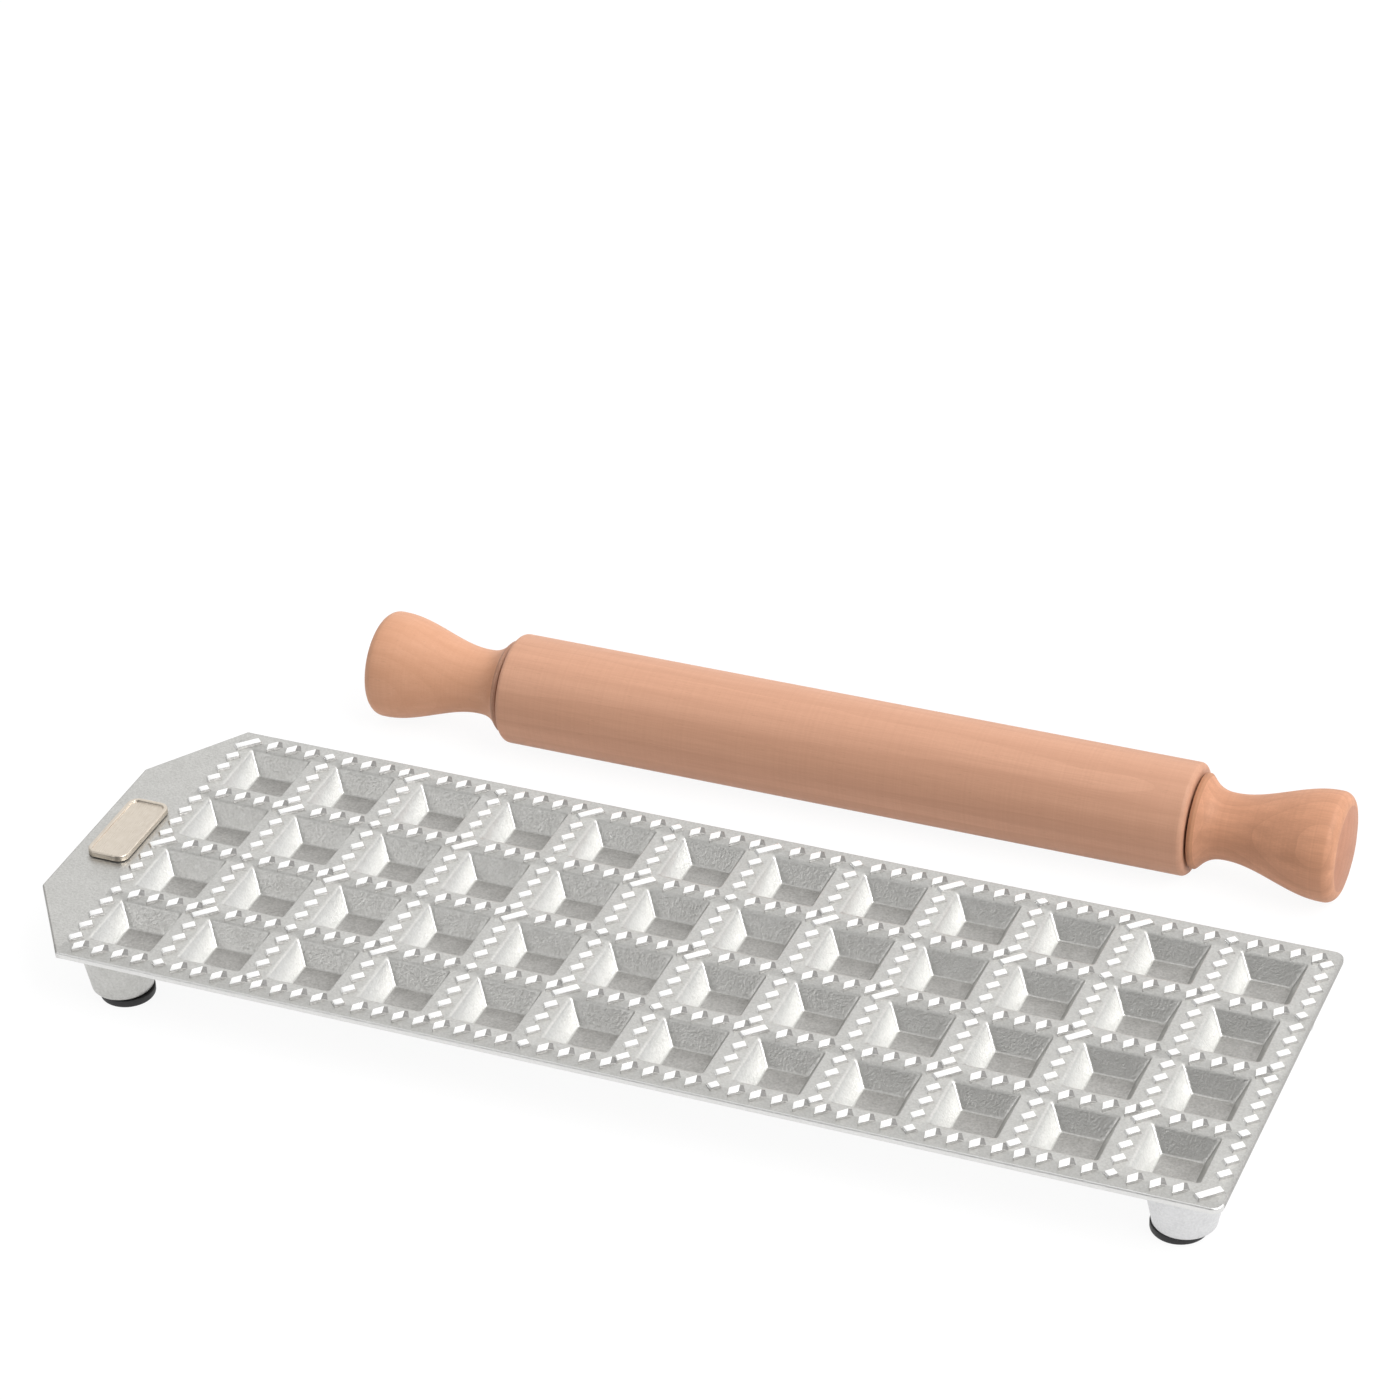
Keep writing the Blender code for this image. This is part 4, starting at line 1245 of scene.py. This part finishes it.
# %% [markdown]
# The axle and the two bushes are plain turned pieces, nearly hidden inside the pin, and the
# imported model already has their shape. They stay as they are and only get their finishes:
# drawn steel with fine lines along it, and milky nylon with faint flow marks.

# %% Axle and bushes
def give_finish(node, finish):
    """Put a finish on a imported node, whose mesh stays as it is."""
    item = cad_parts[node]
    item.data.materials.clear()
    item.data.materials.append(finish)
    print(node, "has", finish.name)


drawn_steel = streaked_finish(
    "drawn_steel", (40, 5000, 5000), [(0.48, 0.48, 0.50, 1), (0.70, 0.70, 0.72, 1)], (0.22, 0.36),
    depth=0.00001, Metallic=1.0)
natural_nylon = streaked_finish(
    "natural_nylon", (200, 900, 900), [(0.80, 0.78, 0.72, 1), (0.88, 0.86, 0.81, 1)], (0.38, 0.5),
    Subsurface_Weight=0.15, Subsurface_Scale=0.001)
give_finish("pin_axle", drawn_steel)
give_finish("pin_bush_left", natural_nylon)
give_finish("pin_bush_right", natural_nylon)

# %% [markdown]
# The photograph shows the set on plain white. The floor is a pale diffuse plane, and rays
# from the camera and from shiny surfaces see it lifted to white, with a soft shadow left
# under the object. A plain white world would light the pockets' sloping walls all alike, so
# the room is bright behind the object and beside it, and dim on the camera's side.

# %% Floor
FLOOR_SIZE = 8.0
FLOOR_DROP = 0.0001
FLOOR_GREY = (0.8, 0.8, 0.8, 1)
SEEN_GREY = (0.10, 0.10, 0.10, 1)
SEEN_LIFT = 0.92


def seen_by(tree):
    """1 for rays from the camera, from shiny surfaces and through clear ones, else 0."""
    rays = add_node(tree, "ShaderNodeLightPath")
    kinds = ("Camera", "Glossy", "Transmission")
    return combine(tree, "MAXIMUM", *[rays.outputs[f"Is {kind} Ray"] for kind in kinds])


def floor_finish():
    """Diffuse for the light it throws back, and whiter for camera and mirror rays."""
    material = bpy.data.materials.new("white_floor")
    material.use_nodes = True
    tree = material.node_tree
    tree.nodes.remove(tree.nodes["Principled BSDF"])
    plain = add_node(tree, "ShaderNodeBsdfDiffuse", {"Color": FLOOR_GREY}).outputs["BSDF"]
    seen = add_node(tree, "ShaderNodeBsdfDiffuse", {"Color": SEEN_GREY}).outputs["BSDF"]
    lift = add_node(tree, "ShaderNodeEmission", {"Strength": SEEN_LIFT}).outputs["Emission"]
    both = add_node(tree, "ShaderNodeAddShader", {0: seen, 1: lift}).outputs["Shader"]
    choice = add_node(tree, "ShaderNodeMixShader", {0: seen_by(tree), 1: plain, 2: both})
    tree.links.new(choice.outputs["Shader"], tree.nodes["Material Output"].inputs["Surface"])
    return material


def add_floor():
    """A plain square under the object, part of the stage."""
    half = FLOOR_SIZE / 2
    corners = [(x, y, -FLOOR_DROP) for x, y in ((-half, -half), (half, -half), (half, half), (-half, half))]
    mesh = bpy.data.meshes.new("floor")
    mesh.from_pydata(corners, [], [(0, 1, 2, 3)])
    mesh.materials.append(floor_finish())
    floor = bpy.data.objects.new("floor", mesh)
    bpy.context.scene.collection.objects.link(floor)


add_floor()
print("floor of", FLOOR_SIZE, "m")

# %% Room light
ROOM_FRONT = 0.10
ROOM_ABOVE = 0.58
ROOM_BACK = 0.44
ROOM_FAR_LEFT = 0.75
ROOM_RIGHT_LIFT = 0.2
ABOVE_RAMP = (-0.82, -0.40)
BACK_RAMP = (0.3, 0.68)
LEFT_RAMP = (-0.85, -0.5)
RIGHT_RAMP = (0.2, 0.7)


def add_room():
    """World light in steps: dim towards -Y, more of it overhead, and white towards +Y.

    The far left is a little dimmer and the right a little brighter. The camera itself sees
    plain white all round.
    """
    world = bpy.data.worlds.new("room")
    bpy.context.scene.world = world
    world.use_nodes = True
    tree = world.node_tree
    background = tree.nodes["Background"]
    background.inputs["Color"].default_value = (1, 1, 1, 1)
    where = add_node(tree, "ShaderNodeTexCoord")
    sideways = axis_of(tree, where.outputs["Generated"], "X")
    depth = axis_of(tree, where.outputs["Generated"], "Y")
    above = remap(tree, depth, *ABOVE_RAMP, ROOM_FRONT, ROOM_FRONT + ROOM_ABOVE)
    level = combine(tree, "ADD", above, remap(tree, depth, *BACK_RAMP, 0, ROOM_BACK))
    level = combine(tree, "MULTIPLY", level, remap(tree, sideways, *LEFT_RAMP, ROOM_FAR_LEFT, 1))
    level = combine(tree, "ADD", level, remap(tree, sideways, *RIGHT_RAMP, 0, ROOM_RIGHT_LIFT))
    rays = add_node(tree, "ShaderNodeLightPath")
    strength = mix(tree, rays.outputs["Is Camera Ray"], level, 1.0, kind="FLOAT")
    tree.links.new(strength, background.inputs["Strength"])


add_room()
print("room set")

# %% [markdown]
# Three square softboxes light the set: the main one from the right, a weaker one high above
# the back, and a weak one low at the front left. Small lamps would give hard shadows, which
# the photograph doesn't have.

# %% Lamps
LAMPS = {
    "softbox_right": ((1.65, -0.58, 1.88), 1.42, 5.3),
    "softbox_above": ((1.14, 0.54, 2.40), 1.8, 2.1),
    "softbox_front": ((-1.36, -1.65, 1.42), 1.0, 2.0)}


def add_softbox(name, place, size, radiance):
    """A square lamp that faces the origin. Its power is the radiance times pi times its area."""
    data = bpy.data.lights.new(name, "AREA")
    data.shape = "SQUARE"
    data.size = size
    data.energy = radiance * math.pi * size ** 2
    lamp = bpy.data.objects.new(name, data)
    lamp.location = place
    turn = math.atan2(-place[1], -place[0])
    tilt = math.acos(place[2] / np.linalg.norm(place))
    lamp.rotation_euler = (tilt, 0, turn - math.pi / 2)
    bpy.context.scene.collection.objects.link(lamp)


for lamp_name, look in LAMPS.items():
    add_softbox(lamp_name, *look)
print("lamps", list(LAMPS))

# %% [markdown]
# Last come the settings. The view transform is Standard, so a colour renders about as it
# is written.

# %% Settings
bpy.context.scene.view_settings.view_transform = "Standard"
